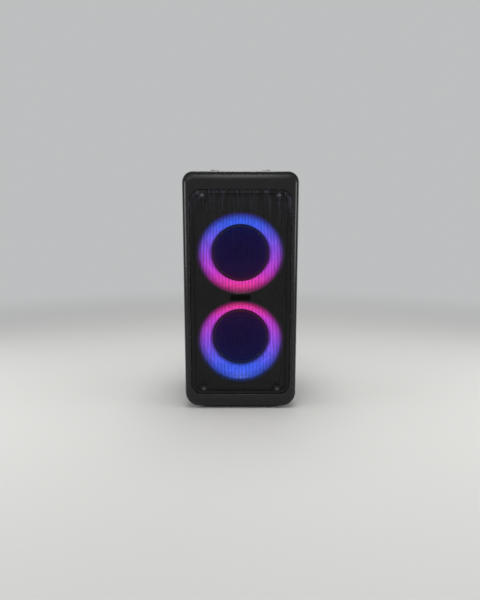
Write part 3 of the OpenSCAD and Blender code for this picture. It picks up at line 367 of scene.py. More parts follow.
def guideGlow():
    # clear acrylic light guides over white lamps
    material, tree, shader, coords = newMaterial("litAcrylic", "#DDE6F2", 0.15, ior=1.49)
    noise = addNode(tree, "TexNoise", {"Vector": coords, "Scale": perMetre(2)})[0]
    glow(shader, 0.9, addNode(tree, "MapRange", {"Value": noise, "To Min": 0.75, "To Max": 1.0})[0])
    return material


def conePulp():
    # pressed paper pulp: matt, with short fibres drawn 3 mm long; its blue-black tint is painted violet light
    # from the rings
    material, tree, shader, coords = newMaterial("pressedPaperPulp", "#130D2E", 0.72, specular=0.15)
    vary(tree, shader, coords, "#130D2E", 0.72, 9, 0.25, 0.08)
    squash = addNode(tree, "Mapping", {"Vector": coords, "Scale": (1, 1, 0.35)})[0]
    fibre = addNode(tree, "TexVoronoi", {"Vector": squash, "Scale": perMetre(3)},
                    feature="DISTANCE_TO_EDGE")["Distance"]
    wire(shader, {"Normal": addNode(tree, "Bump", {
        "Height": fibre, "Strength": 0.4, "Distance": 0.2 * mm})[0]})
    return material


# the cone, surround and basket carry a painted glow of the rings' light
finishes.update(ring=ringGlow(), baffle=baffleGlow(), grilleSteel=grilleCoat(), guide=guideGlow(),
                cone=paintedRingSpill(conePulp(), "#9A6AFF", 0.055, 0.08))
paintedRingSpill(finishes["surround"], "#9A6AFF", 0.055, 0.08)
paintedRingSpill(finishes["basket"], "#FFFFFF", 0.06, 0.085)
print("camera, lights and materials ready")


# ---- shapes: a shape is a list of points and a list of faces

def outline(area, grow=0):
    # a rounded rectangle grown by this much, anticlockwise, with a point just past each end of an arc
    half, low, high = area["half"] + grow, area["low"] - grow, area["high"] + grow
    foot, head = [max(area[end] + grow, area.get("least", 0)) for end in ("cornerLow", "cornerHigh")]
    steps, ease = area.get("steps", 14), area.get("ease", 1.2 * mm)
    points = []
    for x, y, radius, start in ((half - foot, low + foot, foot, -90), (half - head, high - head, head, 0),
                                (head - half, high - head, head, 90), (foot - half, low + foot, foot, 180)):
        for i in range(-1, steps + 2):
            angle = radians(start + 90 * min(max(i, 0), steps) / steps)
            along = -ease if i < 0 else ease if i > steps else 0
            points.append((x + radius * cos(angle) - along * sin(angle),
                           y + radius * sin(angle) + along * cos(angle)))
    return points


def area(half, low, high, corner, **more):
    return {"half": half, "low": low, "high": high, "cornerLow": corner, "cornerHigh": corner, **more}


def atY(points, y):
    return [(u, y, v) for u, v in points]


def atZ(points, z):
    return [(u, v, z) for u, v in points]


def stack(shape, *places, put=atY):
    # the outline of an area, grown by the first number of each pair and put at the second
    return [put(outline(shape, grow), at) for grow, at in places]


def sweep(start, end, steps):
    return [radians(start + (end - start) * i / steps) for i in range(steps + 1)]


def quarter(radius, steps=5):
    # a quarter round as pairs of distances from the two flats that it joins
    return [(radius * (1 - sin(a)), radius * (1 - cos(a))) for a in sweep(0, 90, steps)]


def skin(rings, cyclic=False, caps=False):
    # joins rings of equally many points by bands of faces
    count = len(rings[0])
    points = [p for ring in rings for p in ring]
    faces = []
    for i in range(len(rings) if cyclic else len(rings) - 1):
        a, b = i * count, (i + 1) % len(rings) * count
        faces += [(a + k, a + (k + 1) % count, b + (k + 1) % count, b + k) for k in range(count)]
    if caps:
        faces.append(tuple(range(count - 1, -1, -1)))
        faces.append(tuple((len(rings) - 1) * count + k for k in range(count)))
    return points, faces


def lathe(profile, place, facing, segments=96, closed=True, reach=lambda radius, angle: radius):
    # turns (radius, distance) pairs about an axis through place; distance runs along facing, and
    # reach gives the radius at each angle where the section isn't round
    turn = Vector((0, 0, 1)).rotation_difference(Vector(facing)).to_matrix()
    rings = []
    for radius, along, *more in profile:
        ring = []
        for a in [2 * pi * k / segments for k in range(segments)]:
            r = reach(radius, a, *more)
            ring.append(tuple(Vector(place) + turn @ Vector((r * cos(a), r * sin(a), along))))
        rings.append(ring)
    return skin(rings, cyclic=closed, caps=not closed)


def inMm(*pairs):
    return [tuple(value * mm for value in pair) for pair in pairs]


def hexagon(angle):
    # reach of a hexagon at this angle, as a share of its corners' reach
    return cos(pi / 6) / cos((angle + pi / 6) % (pi / 3) - pi / 6)


def plug(radius, place, length, facing=(0, 1, 0), segments=32):
    # a plain round cutter that starts at place
    return lathe([(radius, 0), (radius, length)], place, facing, segments, closed=False)


def block(low, high):
    (x0, y0, z0), (x1, y1, z1) = low, high
    return skin([[(x0, y, z0), (x1, y, z0), (x1, y, z1), (x0, y, z1)] for y in (y0, y1)], caps=True)


def joined(shapes):
    points, faces = [], []
    for morePoints, moreFaces in shapes:
        start = len(points)
        points += morePoints
        faces += [tuple(start + k for k in face) for face in moreFaces]
    return points, faces


def smooth(mesh, angle):
    mesh.shade_smooth()
    mesh.set_sharp_from_angle(angle=radians(angle))


def makeObject(name, shape, angle=32):
    # merges doubles, points the faces outwards and shades smooth up to this angle
    mesh = bpy.data.meshes.new(name)
    mesh.from_pydata(shape[0], [], shape[1])
    work = bmesh.new()
    work.from_mesh(mesh)
    bmesh.ops.remove_doubles(work, verts=work.verts, dist=2e-6)
    bmesh.ops.dissolve_degenerate(work, edges=work.edges, dist=1e-7)
    bmesh.ops.recalc_face_normals(work, faces=work.faces)
    work.to_mesh(mesh)
    work.free()
    smooth(mesh, angle)
    return addObject(name, mesh)


def settle(piece, angle=32):
    # keeps what the modifiers give as a plain mesh
    graph = bpy.context.evaluated_depsgraph_get()
    mesh = bpy.data.meshes.new_from_object(piece.evaluated_get(graph))
    piece.modifiers.clear()
    piece.data = mesh
    smooth(mesh, angle)


def carve(piece, shapes, angle=32):
    # cuts these shapes out of a piece
    cutters = [makeObject("cutter", shape) for shape in shapes]
    for cutter in cutters:
        cut = piece.modifiers.new("cut", "BOOLEAN")
        cut.operation, cut.solver, cut.object = "DIFFERENCE", "EXACT", cutter
    settle(piece, angle)
    for cutter in cutters:
        bpy.data.objects.remove(cutter)


def done(piece, finish, slotName, *nodes, body="cabinet"):
    # gives a piece its finish and its body, and hides the CAD nodes that it stands for
    keep = [polygon.material_index for polygon in piece.data.polygons]
    piece.data.materials.clear()
    for name in finish.split():
        piece.data.materials.append(finishes[name])
    if " " in finish:
        piece.data.polygons.foreach_set("material_index", keep)
    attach(piece, body)
    if nodes:
        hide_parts(*nodes)


def build(name, shape, angle, finish, slotName, *nodes, body="cabinet"):
    done(makeObject(name, shape, angle), finish, slotName, *nodes, body=body)


def turned(name, profile, places, facing, segments, angle, finish, slotName, *nodes):
    # the same turned part at every place
    build(name, joined([lathe(profile, place, facing, segments) for place in places]), angle,
          finish, slotName, *nodes)


def newTree(name, sockets):
    # an empty node tree with these inputs, each given with its kind
    tree = bpy.data.node_groups.new(name, "GeometryNodeTree")
    for label, kind in sockets.items():
        tree.interface.new_socket(name=label, in_out="INPUT", socket_type="NodeSocket" + kind)
    tree.interface.new_socket(name="Geometry", in_out="OUTPUT", socket_type="NodeSocketGeometry")
    return tree, addNode(tree, "NodeGroupInput")


def finishTree(tree, geometry, material):
    real = addNode(tree, "GeometryNodeRealizeInstances", {0: geometry})[0]
    painted = addNode(tree, "GeometryNodeSetMaterial", {"Geometry": real, "Material": material})[0]
    addNode(tree, "NodeGroupOutput", {0: painted})
    return tree


def applyTree(piece, tree, values):
    # runs a tree on a piece with these named inputs and keeps the plain mesh
    modifier = piece.modifiers.new(tree.name, "NODES")
    modifier.node_group = tree
    for item in tree.interface.items_tree:
        if item.in_out == "INPUT" and item.name in values:
            modifier[item.identifier] = values[item.name]
    piece.update_tag()
    bpy.context.view_layer.update()
    settle(piece)


# ---- case: front frame, tub and rear cover

case = sizes(
    cornerLow=40, cornerHigh=30, rollWidth=17.5, rollHigh=27, rollDepth=19, rearRoll=18, wall=4,
    edge=0.7, lip=1.6, tongue=4.3, joint=1, grilleGap=1, grilleRound=0.9)
topPlate = sizes(corner=14, gap=0.3, depth=2, ledge=5)
ioPlate = sizes(flange=9, corner=10, sheet=2.5, gap=0.3, depth=24, floorThick=3)
port = sizes(bore=33, flare=14, wall=2.5, length=120)
foot = sizes(x=108, y=92, radius=16, round=1.8)

frameBox, coverBox, grilleBox, badgeBox, panelBox, ioBox, portBox = [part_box(name) for name in (
    "front_frame", "rear_cover", "grille", "badge", "top_panel", "io_panel", "port_tube")]
front, rear, top, floor = frameBox[0].y, coverBox[1].y, frameBox[1].z, frameBox[0].z
frameEnd, coverStart, baffleFace = frameBox[1].y, coverBox[0].y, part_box("front_baffle")[0].y
wall, edge, lip, roll = case["wall"], case["edge"], case["lip"], case["rearRoll"]
portCentre = middle("port_tube").z
caseArea = {"half": frameBox[1].x, "low": floor, "high": top, "cornerLow": case["cornerLow"],
            "cornerHigh": case["cornerHigh"], "least": 2 * mm}
grilleArea = area(grilleBox[1].x, grilleBox[0].z, grilleBox[1].z, 31 * mm)
planArea = area(panelBox[1].x, panelBox[0].y, panelBox[1].y, topPlate["corner"])
ioArea = area(ioBox[1].x - ioPlate["flange"], ioBox[0].z + ioPlate["flange"], ioBox[1].z - ioPlate["flange"],
              ioPlate["corner"], ease=0.8 * mm)


def brokenEdge(y, way):
    # the case's edge where it meets a joint at this depth
    return [(-inset * edge, y + way * depth * edge) for inset, depth in ((0, 1), (0.3, 0.3), (1, 0))]


gap = case["grilleGap"]
rings = stack(grilleArea, (gap, baffleFace), (gap, front + 2 * mm),
              *[(gap + c, front + s) for s, c in quarter(case["grilleRound"])])
for s, c in quarter(1, 14):
    # the front roll, taller along the top edge than at the sides
    rolled = {**caseArea, "high": top - (case["rollHigh"] - case["rollWidth"]) * s}
    rings += stack(rolled, (-case["rollWidth"] * s, front + case["rollDepth"] * c))
tongue = frameEnd - case["tongue"]
rings += stack(caseArea, (0, front + case["rollDepth"] + 1.2 * mm), *brokenEdge(frameEnd, -1),
               (-lip, frameEnd), (-lip, tongue), (-wall, tongue), (-wall, baffleFace))
build("frontFrame", skin(rings, cyclic=True), 32, "shellPlastic", "shell_plastic", "front_frame")

start, end, inset = frameEnd + case["joint"], coverStart - case["joint"], lip + 0.2 * mm
tub = makeObject("tub", skin(stack(
    caseArea, *reversed(brokenEdge(start, 1)), *brokenEdge(end, -1), (-inset, end), (-inset, end + 4 * mm),
    (-wall, end + 4 * mm), (-wall, start - 4 * mm), (-inset, start - 4 * mm), (-inset, start)), cyclic=True))
gap = topPlate["gap"]
carve(tub, [
    skin(stack(planArea, (gap, top - topPlate["depth"]), (gap, top - 0.5 * mm),
               (gap + 0.6 * mm, top + 0.1 * mm), (gap + 0.6 * mm, top + 5 * mm), put=atZ), caps=True),
    skin(stack(planArea, (-topPlate["ledge"], top - 8 * mm), (-topPlate["ledge"], top + 5 * mm), put=atZ),
         caps=True)])
done(tub, "shellPlastic", "shell_plastic", "cabinet_shell")
footPlaces = [Vector((x, y, 0)) for x in (-foot["x"], foot["x"]) for y in (-foot["y"], foot["y"])]
bossBase = floor + wall - 0.2 * mm
turned("footBosses", [(r, bossBase + h) for r, h in inMm((1.6, 0), (8, 0), (8, 10), (1.6, 10))], footPlaces,
       (0, 0, 1), 32, 32, "shellPlastic", "shell_plastic")

innerRoll = roll - wall
rearCover = makeObject("rearCover", skin(stack(
    caseArea, (-roll - 1.2 * mm, rear - wall),
    *[(-wall - c, rear - wall - s) for s, c in reversed(quarter(innerRoll, 8))],
    (-wall, coverStart + case["tongue"]), (-lip, coverStart + case["tongue"]), (-lip, coverStart),
    *reversed(brokenEdge(coverStart, 1)), (0, rear - roll - 1.2 * mm),
    *[(-c, rear - s) for s, c in quarter(roll, 14)], (-roll - 1.2 * mm, rear)), caps=True))
coverScrewX = caseArea["half"] - roll - 6 * mm
coverScrewZ = [floor + 60 * mm, middle("badge").z, top - 60 * mm]
cuts = [skin(stack(ioArea, (side + ioPlate["gap"], low), (side + ioPlate["gap"], rear + 5 * mm)), caps=True)
        for side, low in ((ioPlate["flange"], rear - ioPlate["sheet"]), (ioPlate["sheet"], rear - 9 * mm))]
cuts += [plug(portBox[1].x + 0.3 * mm, (0, rear - port["wall"], portCentre), 8 * mm, segments=96),
         plug(portBox[1].x - 5.7 * mm, (0, rear - 9 * mm, portCentre), 16 * mm, segments=96)]
coverScrews = [(x, rear - 2.4 * mm, z) for x in (-coverScrewX, coverScrewX) for z in coverScrewZ]
cuts += [plug(4 * mm, place, 8 * mm) for place in coverScrews]
carve(rearCover, cuts)
done(rearCover, "shellPlastic", "shell_plastic", "rear_cover")
print("case made")


# ---- grille: one sheet with staggered slots and a folded rim

grille = sizes(
    slotWidth=2.75, columnPitch=4, land=1, shortest=5, border=6, margin=9, sheet=1.5, fold=1.8, screwX=105,
    screwInset=15, screwClear=10.5, ringSlack=3, badgeSide=2.5, badgeEnd=3,
    # how far a land may move from its neighbour's, and what it keeps clear of the light
    shift=20, ringClear=1.5, coneShift=25, coneClear=6)
grilleMiddle, face = middle("grille").z, grilleBox[0].y
driverHigh, driverLow = middle("upper_light_ring").z, middle("lower_light_ring").z
rowPitch = (driverHigh - driverLow) / 2


def columnLimit(x):
    # how high a column may go inside the rounded outline and clear of the screws, or None
    halfHeight, corner = (grilleBox[1].z - grilleBox[0].z) / 2, grilleArea["cornerHigh"]
    over = max(x + grille["slotWidth"] / 2 - (grilleArea["half"] - corner), 0)
    reach = corner - grille["margin"]
    if over > reach:
        return None
    limit = halfHeight - corner + sqrt(reach * reach - over * over)
    if abs(x - grille["screwX"]) < grille["screwClear"]:
        limit = min(limit, halfHeight - grille["screwInset"] - grille["screwClear"])
    return limit


def slotPlaces():
    # across, middle and length of every slot. Lands lie half a driver spacing apart, so they fall behind
    # the badge, in the middle of each cone and just past the rings; a column that crosses only a ring
    # has none there
    columns = int(grilleArea["half"] / grille["columnPitch"])
    rows = int((grilleBox[1].z - grilleBox[0].z) / 2 / rowPitch) + 2
    badgeLow = badgeBox[0].z - grilleMiddle - grille["badgeEnd"]
    badgeHigh = badgeBox[1].z - grilleMiddle + grille["badgeEnd"]
    places = []
    for column in range(-columns, columns + 1):
        x = abs(column * grille["columnPitch"])
        limit = columnLimit(x)
        if limit is None:
            continue
        beside = ringLamp["inner"] - grille["ringSlack"] < x < ringLamp["outer"]
        inner, outer = [sqrt(max(ringLamp[edge] ** 2 - x * x, 0)) for edge in ("inner", "outer")]
        # each land is set off from its neighbour's, as far as the dark part of its column allows
        room = min(rowPitch - outer, grille["shift"]) - grille["ringClear"]
        coneRoom = max(min(inner - room - grille["coneClear"], grille["coneShift"]), 0)
        shift = (driverHigh + driverLow) / 2 - grilleMiddle + (column * 3 % 8 / 3.5 - 1) * room
        coneShift = (column * 5 % 8 / 3.5 - 1) * coneRoom
        for row in range(-rows, rows + 1):
            odd = row % 2
            if beside and odd:
                continue
            low = row * rowPitch + shift + odd * coneShift + grille["land"] / 2
            high = ((row + 1 + beside) * rowPitch + shift + (0 if beside or odd else coneShift) -
                    grille["land"] / 2)
            low, high = max(low, -limit), min(high, limit)
            if x < badgeBox[1].x + grille["badgeSide"]:
                low, high = (low, min(high, badgeLow)) if row < 0 else (max(low, badgeHigh), high)
            if high - low >= grille["shortest"]:
                places.append((column * grille["columnPitch"], (low + high) / 2, high - low))
    return places


def slottedSheet():
    # a rounded slot on every loose point, as long as the point is high, cut from the area inside the
    # outline, which then gets its thickness and is stood up
    tree, given = newTree("slottedSheet", {
        "Outline": "Geometry", "Slot width": "Float", "Slot length": "Float", "Sheet": "Float",
        "Face": "Float", "Middle": "Float", "Material": "Material"})
    length = addNode(tree, "SeparateXYZ", {0: addNode(tree, "GeometryNodeInputPosition")[0]})["Z"]
    share = addNode(tree, "Math", {0: length, 1: given["Slot length"]}, operation="DIVIDE")[0]
    bar = addNode(tree, "GeometryNodeCurvePrimitiveQuadrilateral", {
        "Width": given["Slot width"], "Height": given["Slot length"]})[0]
    # just under half the width, so that the two arcs of an end don't meet
    radius, depth = [addNode(tree, "Math", {0: given[name], 1: share}, operation="MULTIPLY")[0]
                     for name, share in (("Slot width", 0.499), ("Sheet", -1.0))]
    slotCurve = addNode(tree, "GeometryNodeFilletCurve", {
        "Curve": bar, "Count": 3, "Radius": radius}, mode="POLY")[0]
    copies = addNode(tree, "GeometryNodeInstanceOnPoints", {
        "Points": given["Outline"], "Selection": length, "Instance": slotCurve,
        "Scale": addNode(tree, "CombineXYZ", {"X": 1.0, "Y": share, "Z": 1.0})[0]})[0]
    loops = addNode(tree, "GeometryNodeTransform", {
        "Geometry": addNode(tree, "GeometryNodeRealizeInstances", {0: copies})[0], "Scale": (1, 1, 0)})[0]
    curves = addNode(tree, "GeometryNodeJoinGeometry", {0: loops})[0]
    wire(curves.node, {0: addNode(tree, "GeometryNodeMeshToCurve", {"Mesh": given["Outline"]})[0]})
    filled = addNode(tree, "GeometryNodeFillCurve", {"Curve": curves})[0]
    thick = addNode(tree, "CombineXYZ", {"Z": depth})[0]
    pushed = addNode(tree, "GeometryNodeExtrudeMesh", {
        "Mesh": filled, "Offset": thick, "Offset Scale": 1.0, "Individual": False}, mode="FACES")["Mesh"]
    both = addNode(tree, "GeometryNodeJoinGeometry", {0: pushed})[0]
    wire(both.node, {0: filled})
    closed = addNode(tree, "GeometryNodeMergeByDistance", {"Geometry": both, "Distance": 2e-6})[0]
    lift = addNode(tree, "CombineXYZ", {"Y": given["Face"], "Z": given["Middle"]})[0]
    stood = addNode(tree, "GeometryNodeTransform", {
        "Geometry": closed, "Translation": lift, "Rotation": (pi / 2, 0, 0)})[0]
    return finishTree(tree, stood, given["Material"])


borderRing = stack(grilleArea, (-grille["border"], face))[0]
sheetMesh = bpy.data.meshes.new("slottedSheet")
sheetMesh.from_pydata([(x, z - grilleMiddle, 0) for x, y, z in borderRing] + slotPlaces(),
                      [(k, (k + 1) % len(borderRing)) for k in range(len(borderRing))], [])
sheet = addObject("slottedSheet", sheetMesh)
applyTree(sheet, slottedSheet(), {
    "Slot width": grille["slotWidth"], "Slot length": rowPitch - grille["land"], "Sheet": grille["sheet"],
    "Face": face, "Middle": grilleMiddle, "Material": finishes["grilleSteel"]})

sheetT, fold = grille["sheet"], grille["fold"]
rings = [borderRing] + stack(
    grilleArea, (-fold - 1 * mm, face), *[(-s, face + c) for s, c in quarter(fold, 6)],
    (0, baffleFace - 0.2 * mm), (-0.3 * mm, baffleFace), (-sheetT, baffleFace),
    (-sheetT, face + fold + 0.3 * mm), (-sheetT - 0.3 * mm, face + sheetT),
    (-grille["border"], face + sheetT))
sheetPoints = [tuple(v.co) for v in sheet.data.vertices]
onBorder = {(round(x, 5), round(z, 5)) for x, y, z in borderRing}
border = [(round(x, 5), round(z, 5)) in onBorder for x, y, z in sheetPoints]
# the sheet's own edge wall goes, because the rim carries on from there
sheetFaces = [tuple(p.vertices) for p in sheet.data.polygons
              if not (all(border[k] for k in p.vertices) and abs(p.normal.y) < 0.5)]
bpy.data.objects.remove(sheet)
screwPoints = [(x, face, z) for x in (-grille["screwX"], grille["screwX"])
               for z in (grilleBox[0].z + grille["screwInset"], grilleBox[1].z - grille["screwInset"])]
# a pressed lip round each screw
lips = [lathe(inMm((5.0, -0.4), (5.0, 0.1), (5.7, 0.15), (6.5, 0.6), (7.1, 0.6), (7.7, 0.15), (8.0, -0.4)),
              place, (0, -1, 0), 48) for place in screwPoints]
grillePiece = makeObject("grillePanel", joined([(sheetPoints, sheetFaces), skin(rings)] + lips), 40)
done(grillePiece, "grilleSteel", "grille_steel", "grille")
print("grille made:", len(grillePiece.data.polygons), "faces")

badge = sizes(corner=2.2, bevel=0.5)
badgeArea = area(badgeBox[1].x, badgeBox[0].z, badgeBox[1].z, badge["corner"], steps=6, ease=0.3 * mm)
bevel, y = badge["bevel"], badgeBox[0].y
build("badgePlate", skin(stack(
    badgeArea, (0, badgeBox[1].y), (0, y + bevel), (-0.3 * bevel, y + 0.3 * bevel), (-bevel, y),
    (-bevel - 0.3 * mm, y)), caps=True), 32, "badge", "badge_plastic", "badge")


# ---- screws: a head set on points by a node tree

screws = {
    # radius, height, socket, socket depth, shank
    "grille": (4.5, 2.0, 1.9, 1.3, 12), "cover": (3.4, 2.0, 1.5, 1.2, 14),
}


def partOnPoints():
    # sets a copy of a part on every point, each turned by a random amount about the y axis
    tree, given = newTree("partOnPoints", {"Points": "Geometry", "Part": "Object", "Seed": "Int",
                                           "Most turn": "Float", "Material": "Material"})
    part = addNode(tree, "GeometryNodeObjectInfo", {"Object": given["Part"]})["Geometry"]
    most = addNode(tree, "CombineXYZ", {"Y": given["Most turn"]})[0]
    turn = addNode(tree, "FunctionNodeRandomValue", {0: (0, 0, 0), 1: most, "Seed": given["Seed"]},
                   data_type="FLOAT_VECTOR")[0]
    copies = addNode(tree, "GeometryNodeInstanceOnPoints", {
        "Points": given["Points"], "Instance": part, "Rotation": turn})[0]
    return finishTree(tree, copies, given["Material"])


setTree = partOnPoints()


def setScrews(name, shape, points, seed, *nodes):
    head = makeObject(name + "Head", shape)
    mesh = bpy.data.meshes.new(name)
    mesh.from_pydata(points, [], [])
    piece = addObject(name, mesh)
    applyTree(piece, setTree, {"Part": head, "Seed": seed, "Most turn": 2 * pi,
                               "Material": finishes["blackScrew"]})
    bpy.data.objects.remove(head)
    done(piece, "blackScrew", "black_screw", *nodes)


def screwHead(kind, facing):
    # a domed head with a six-sided socket and its shank, at the origin
    radius, height, socket, depth, shank = [value * mm for value in screws[kind]]
    profile = [(0.35 * radius, -shank), (0.35 * radius, 0), (radius, 0), (radius, 0.35 * height),
               (0.93 * radius, 0.62 * height), (0.78 * radius, 0.87 * height), (0.58 * radius, height),
               (1.12 * socket, height), (socket, height - 0.15 * mm, True), (socket, height - depth, True)]
    return lathe(profile, (0, 0, 0), facing, 24, closed=False,
                 reach=lambda r, a, sixSided=False: r * hexagon(a) if sixSided else r)


setScrews("grilleScrews", screwHead("grille", (0, -1, 0)), screwPoints, 3, "grille_screws")
setScrews("coverScrews", screwHead("cover", (0, 1, 0)), coverScrews, 8, "rear_screws")
print("screws set")


# ---- light rings and drivers

driver = sizes(
    gasket=0.8, flangeThick=3.5, rollInner=57, rollOuter=70, roll=5, rollThick=0.8, coneEdge=55.7,
    coil=13.7, neck=-26, cap=21, capHeight=7, sheet=1.2, beadInner=54.4, beadLift=4.4, beadThick=0.7,
    beadWall=0.8, ribHeight=0.35) | {
    "floor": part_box("upper_light_ring")[1].y, "ribs": 5, "coneSteps": 60, "domeSteps": 14}
horn = sizes(throat=83, sheet=2.5, foot=4, depth=52) | {"steps": 24}
flangeTop = driver["gasket"] + driver["flangeThick"]
footTop = flangeTop + 1 * mm


def hornPoint(t, mouth):
    spread = (1 - cos(pi * t / 2)) * 0.45 + t * 0.55
    return (horn["throat"] + (mouth - horn["throat"]) * spread,
            horn["foot"] + (horn["depth"] - horn["foot"]) * t)


def conePoint(t):
    return (driver["coil"] + (driver["coneEdge"] - driver["coil"]) * t,
            driver["neck"] + (footTop - driver["neck"]) * (0.7 * t + 0.3 * sin(pi * t / 2)))


def ringProfile(outside):
    mouth, sheet, depth = outside - horn["sheet"], horn["sheet"], horn["depth"]
    inner = [hornPoint(i / horn["steps"], mouth) for i in range(horn["steps"] + 1)]
    inner[-1] = (inner[-1][0], inner[-1][1] - 0.5 * mm)
    return ([(horn["throat"], 0)] + inner + [(mouth + 0.4 * mm, depth), (outside - 0.5 * mm, depth),
            (outside, depth - 0.5 * mm)] + [(r + sheet, h) for r, h in reversed(inner[:-1])] +
            [(horn["throat"] + sheet, 0)])


def surroundProfile():
    # a half roll, and an inner bead that stands over the cone's edge, clear of its travel, and closes
    # the gap round it
    centre, roll = (driver["rollInner"] + driver["rollOuter"]) / 2, driver["roll"]
    over = roll + driver["rollThick"]
    lipIn, lipOut = driver["rollInner"] - 1 * mm, driver["rollOuter"] + 3.5 * mm
    beadLow, beadWall = flangeTop + driver["beadLift"], lipIn + driver["beadWall"]
    beadHigh = beadLow + driver["beadThick"]
    arch = [(centre - over * cos(a), flangeTop + over * sin(a)) for a in sweep(0, 180, 18)]
    under = [(centre + roll * cos(a), flangeTop + roll * sin(a) * 0.98) for a in sweep(10, 170, 16)]
    arch = [(r, h) for r, h in arch if h > footTop and r > beadWall]
    return [(lipIn, flangeTop), (lipIn, beadLow), (driver["beadInner"], beadLow),
            (driver["beadInner"], beadHigh), (beadWall, beadHigh), (beadWall, footTop), *arch,
            (lipOut, footTop), (lipOut, flangeTop), *under]


def coneProfile():
    # raised ribs are pressed into the cone's face
    shares = [i / driver["coneSteps"] for i in range(driver["coneSteps"] + 1)]
    ribs = [driver["ribHeight"] * max(0, sin(2 * pi * driver["ribs"] * t)) for t in shares]
    line = [conePoint(t) for t in shares]
    return [(r, h + rib) for (r, h), rib in zip(line, ribs)] + [
        (r, h - driver["sheet"]) for r, h in reversed(line)]


def capProfile():
    radius, height, steps = driver["cap"], driver["capHeight"], driver["domeSteps"]
    seat = conePoint((radius - driver["coil"]) / (driver["coneEdge"] - driver["coil"]))[1] + 0.3 * mm
    ball = (radius * radius + height * height) / (2 * height)
    reach = asin(radius / ball)
    dome = [(ball * sin(reach * (1 - i / steps)), seat + height - ball + ball * cos(reach * (1 - i / steps)))
            for i in range(steps + 1)]
    inside = [(max(r - 0.6 * mm, 0), h - 0.8 * mm) for r, h in reversed(dome)]
    return dome + inside[:-1] + [(radius - 1 * mm, seat)]


for place in ("upper", "lower"):
    centre = (0, driver["floor"], middle(place + "_light_ring").z)
    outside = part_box(place + "_light_ring")[1].x
    for part, profile, segments, angle, finish, body, slotName, node in (
            ("LightRing", ringProfile(outside), 144, 32, "ring", "cabinet", "ring_diffuser", "_light_ring"),
            ("Surround", surroundProfile(), 96, 32, "surround", "cabinet", "surround_rubber", "_surround"),
            ("Cone", coneProfile(), 96, 50, "cone", place + "_driver_cone", "cone_paper", "_cone"),
            ("DustCap", capProfile(), 96, 60, "cone", place + "_driver_cone", "cone_paper", "_dust_cap")):
        build(place + part, lathe(profile, centre, (0, -1, 0), segments), angle, finish, slotName,
              place + node, body=body)
print("rings and drivers made")


# ---- top panel, keys and lights

keyNames = ["power", "pairing", "volume_down", "play", "volume_up", "bass", "light"]
keyBox = {name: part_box(name + "_button") for name in keyNames}
keyRow = middle("play_button").y
key = sizes(radius=9, flange=10.2, gap=0.3, dish=0.55, round=0.8, markSink=0.1, markTop=0.28)
guide = sizes(radius=1.5, gap=0.1, proud=0.2, pitch=8) | {"count": 5}
well = sizes(half=60, near=20, far=88, corner=10, depth=26, wall=2.5, rim=2.2, foot=5)
bailBox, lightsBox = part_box("handle_bail"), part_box("status_lights")
pivotY, pivotZ = middle("handle_pins").yz
wellArea = area(well["half"], pivotY + well["near"], pivotY + well["far"], well["corner"], ease=0.8 * mm)
under, bottom = top - topPlate["depth"], top - well["depth"]
sheet, base = well["wall"], bottom - well["wall"]
rings = stack(wellArea, (-well["foot"], base), (sheet - 2 * mm, base), (sheet, base + 2 * mm), (sheet, under),
              put=atZ)
rings += stack(planArea, (0, under), (0, top - 0.5 * mm), (-0.15 * mm, top - 0.15 * mm), (-0.5 * mm, top),
               (-1.2 * mm, top), put=atZ)
rings += stack(wellArea, (well["rim"] + 1 * mm, top), *[(s, top - c) for s, c in quarter(well["rim"], 6)],
               *[(-c, bottom + s) for s, c in quarter(well["foot"], 6)], (-well["foot"] - 1 * mm, bottom),
               put=atZ)
topPanel = makeObject("topPanel", skin(rings, caps=True))
keyX = {name: middle(name + "_button").x for name in keyNames}
lightRow = middle("status_lights").y
lightX = [guide["pitch"] * (i - (guide["count"] - 1) / 2) for i in range(guide["count"])]
carve(topPanel, [plug(hole["radius"] + hole["gap"], (x, row, top - 4 * mm), 8 * mm, (0, 0, 1), segments)
                 for hole, across, row, segments in ((key, keyX.values(), keyRow, 64),
                                                     (guide, lightX, lightRow, 24)) for x in across])
done(topPanel, "panelPlastic", "panel_plastic", "top_panel")


def arcBand(inner, outer, start, end, x=0, y=0, steps=16):
    return [(x + r * cos(a), y + r * sin(a)) for r, angles in (
        (outer, sweep(start, end, steps)), (inner, sweep(end, start, steps))) for a in angles]


def raised(mark, put, low, high):
    return skin([put(mark, low), put(mark, high)], caps=True)


def bar(x0, x1, y0, y1):
    return [(x0, y0), (x1, y0), (x1, y1), (x0, y1)]


def spoke(inner, outer, half, angle, x=0, y=0):
    # a short bar that points away from x, y
    c, s = cos(angle), sin(angle)
    return [(x + c * r - s * w, y + s * r + c * w)
            for r, w in ((inner, -half), (outer, -half), (outer, half), (inner, half))]


# the usual plain marks, drawn in millimetres about each key's centre
keyMarks = {
    "power": [arcBand(2.3, 2.9, 120, 420), bar(-0.3, 0.3, 0.8, 3.3)],
    "pairing": [arcBand(0.0, 0.7, 0, 359)] + [arcBand(inner, inner + 0.55, start, start + 110)
                                              for start in (-55, 125) for inner in (1.6, 2.9)],
    "volume_down": [bar(-2.7, 2.7, -0.35, 0.35)],
    "volume_up": [bar(-2.7, 2.7, -0.35, 0.35), bar(-0.35, 0.35, -2.7, -0.351), bar(-0.35, 0.35, 0.351, 2.7)],
    "play": [[(-2.9, -2.2), (0.7, 0), (-2.9, 2.2)], bar(1.2, 1.9, -2.2, 2.2), bar(2.6, 3.3, -2.2, 2.2)],
    "bass": [bar(-2.8, -1.6, -2.4, -0.6), bar(-1.0, 0.2, -2.4, 1.0), bar(0.8, 2.0, -2.4, 2.6)],
    "light": [arcBand(0.0, 1.3, 0, 359)] + [spoke(2.0, 3.2, 0.25, radians(45 * i)) for i in range(8)],
}
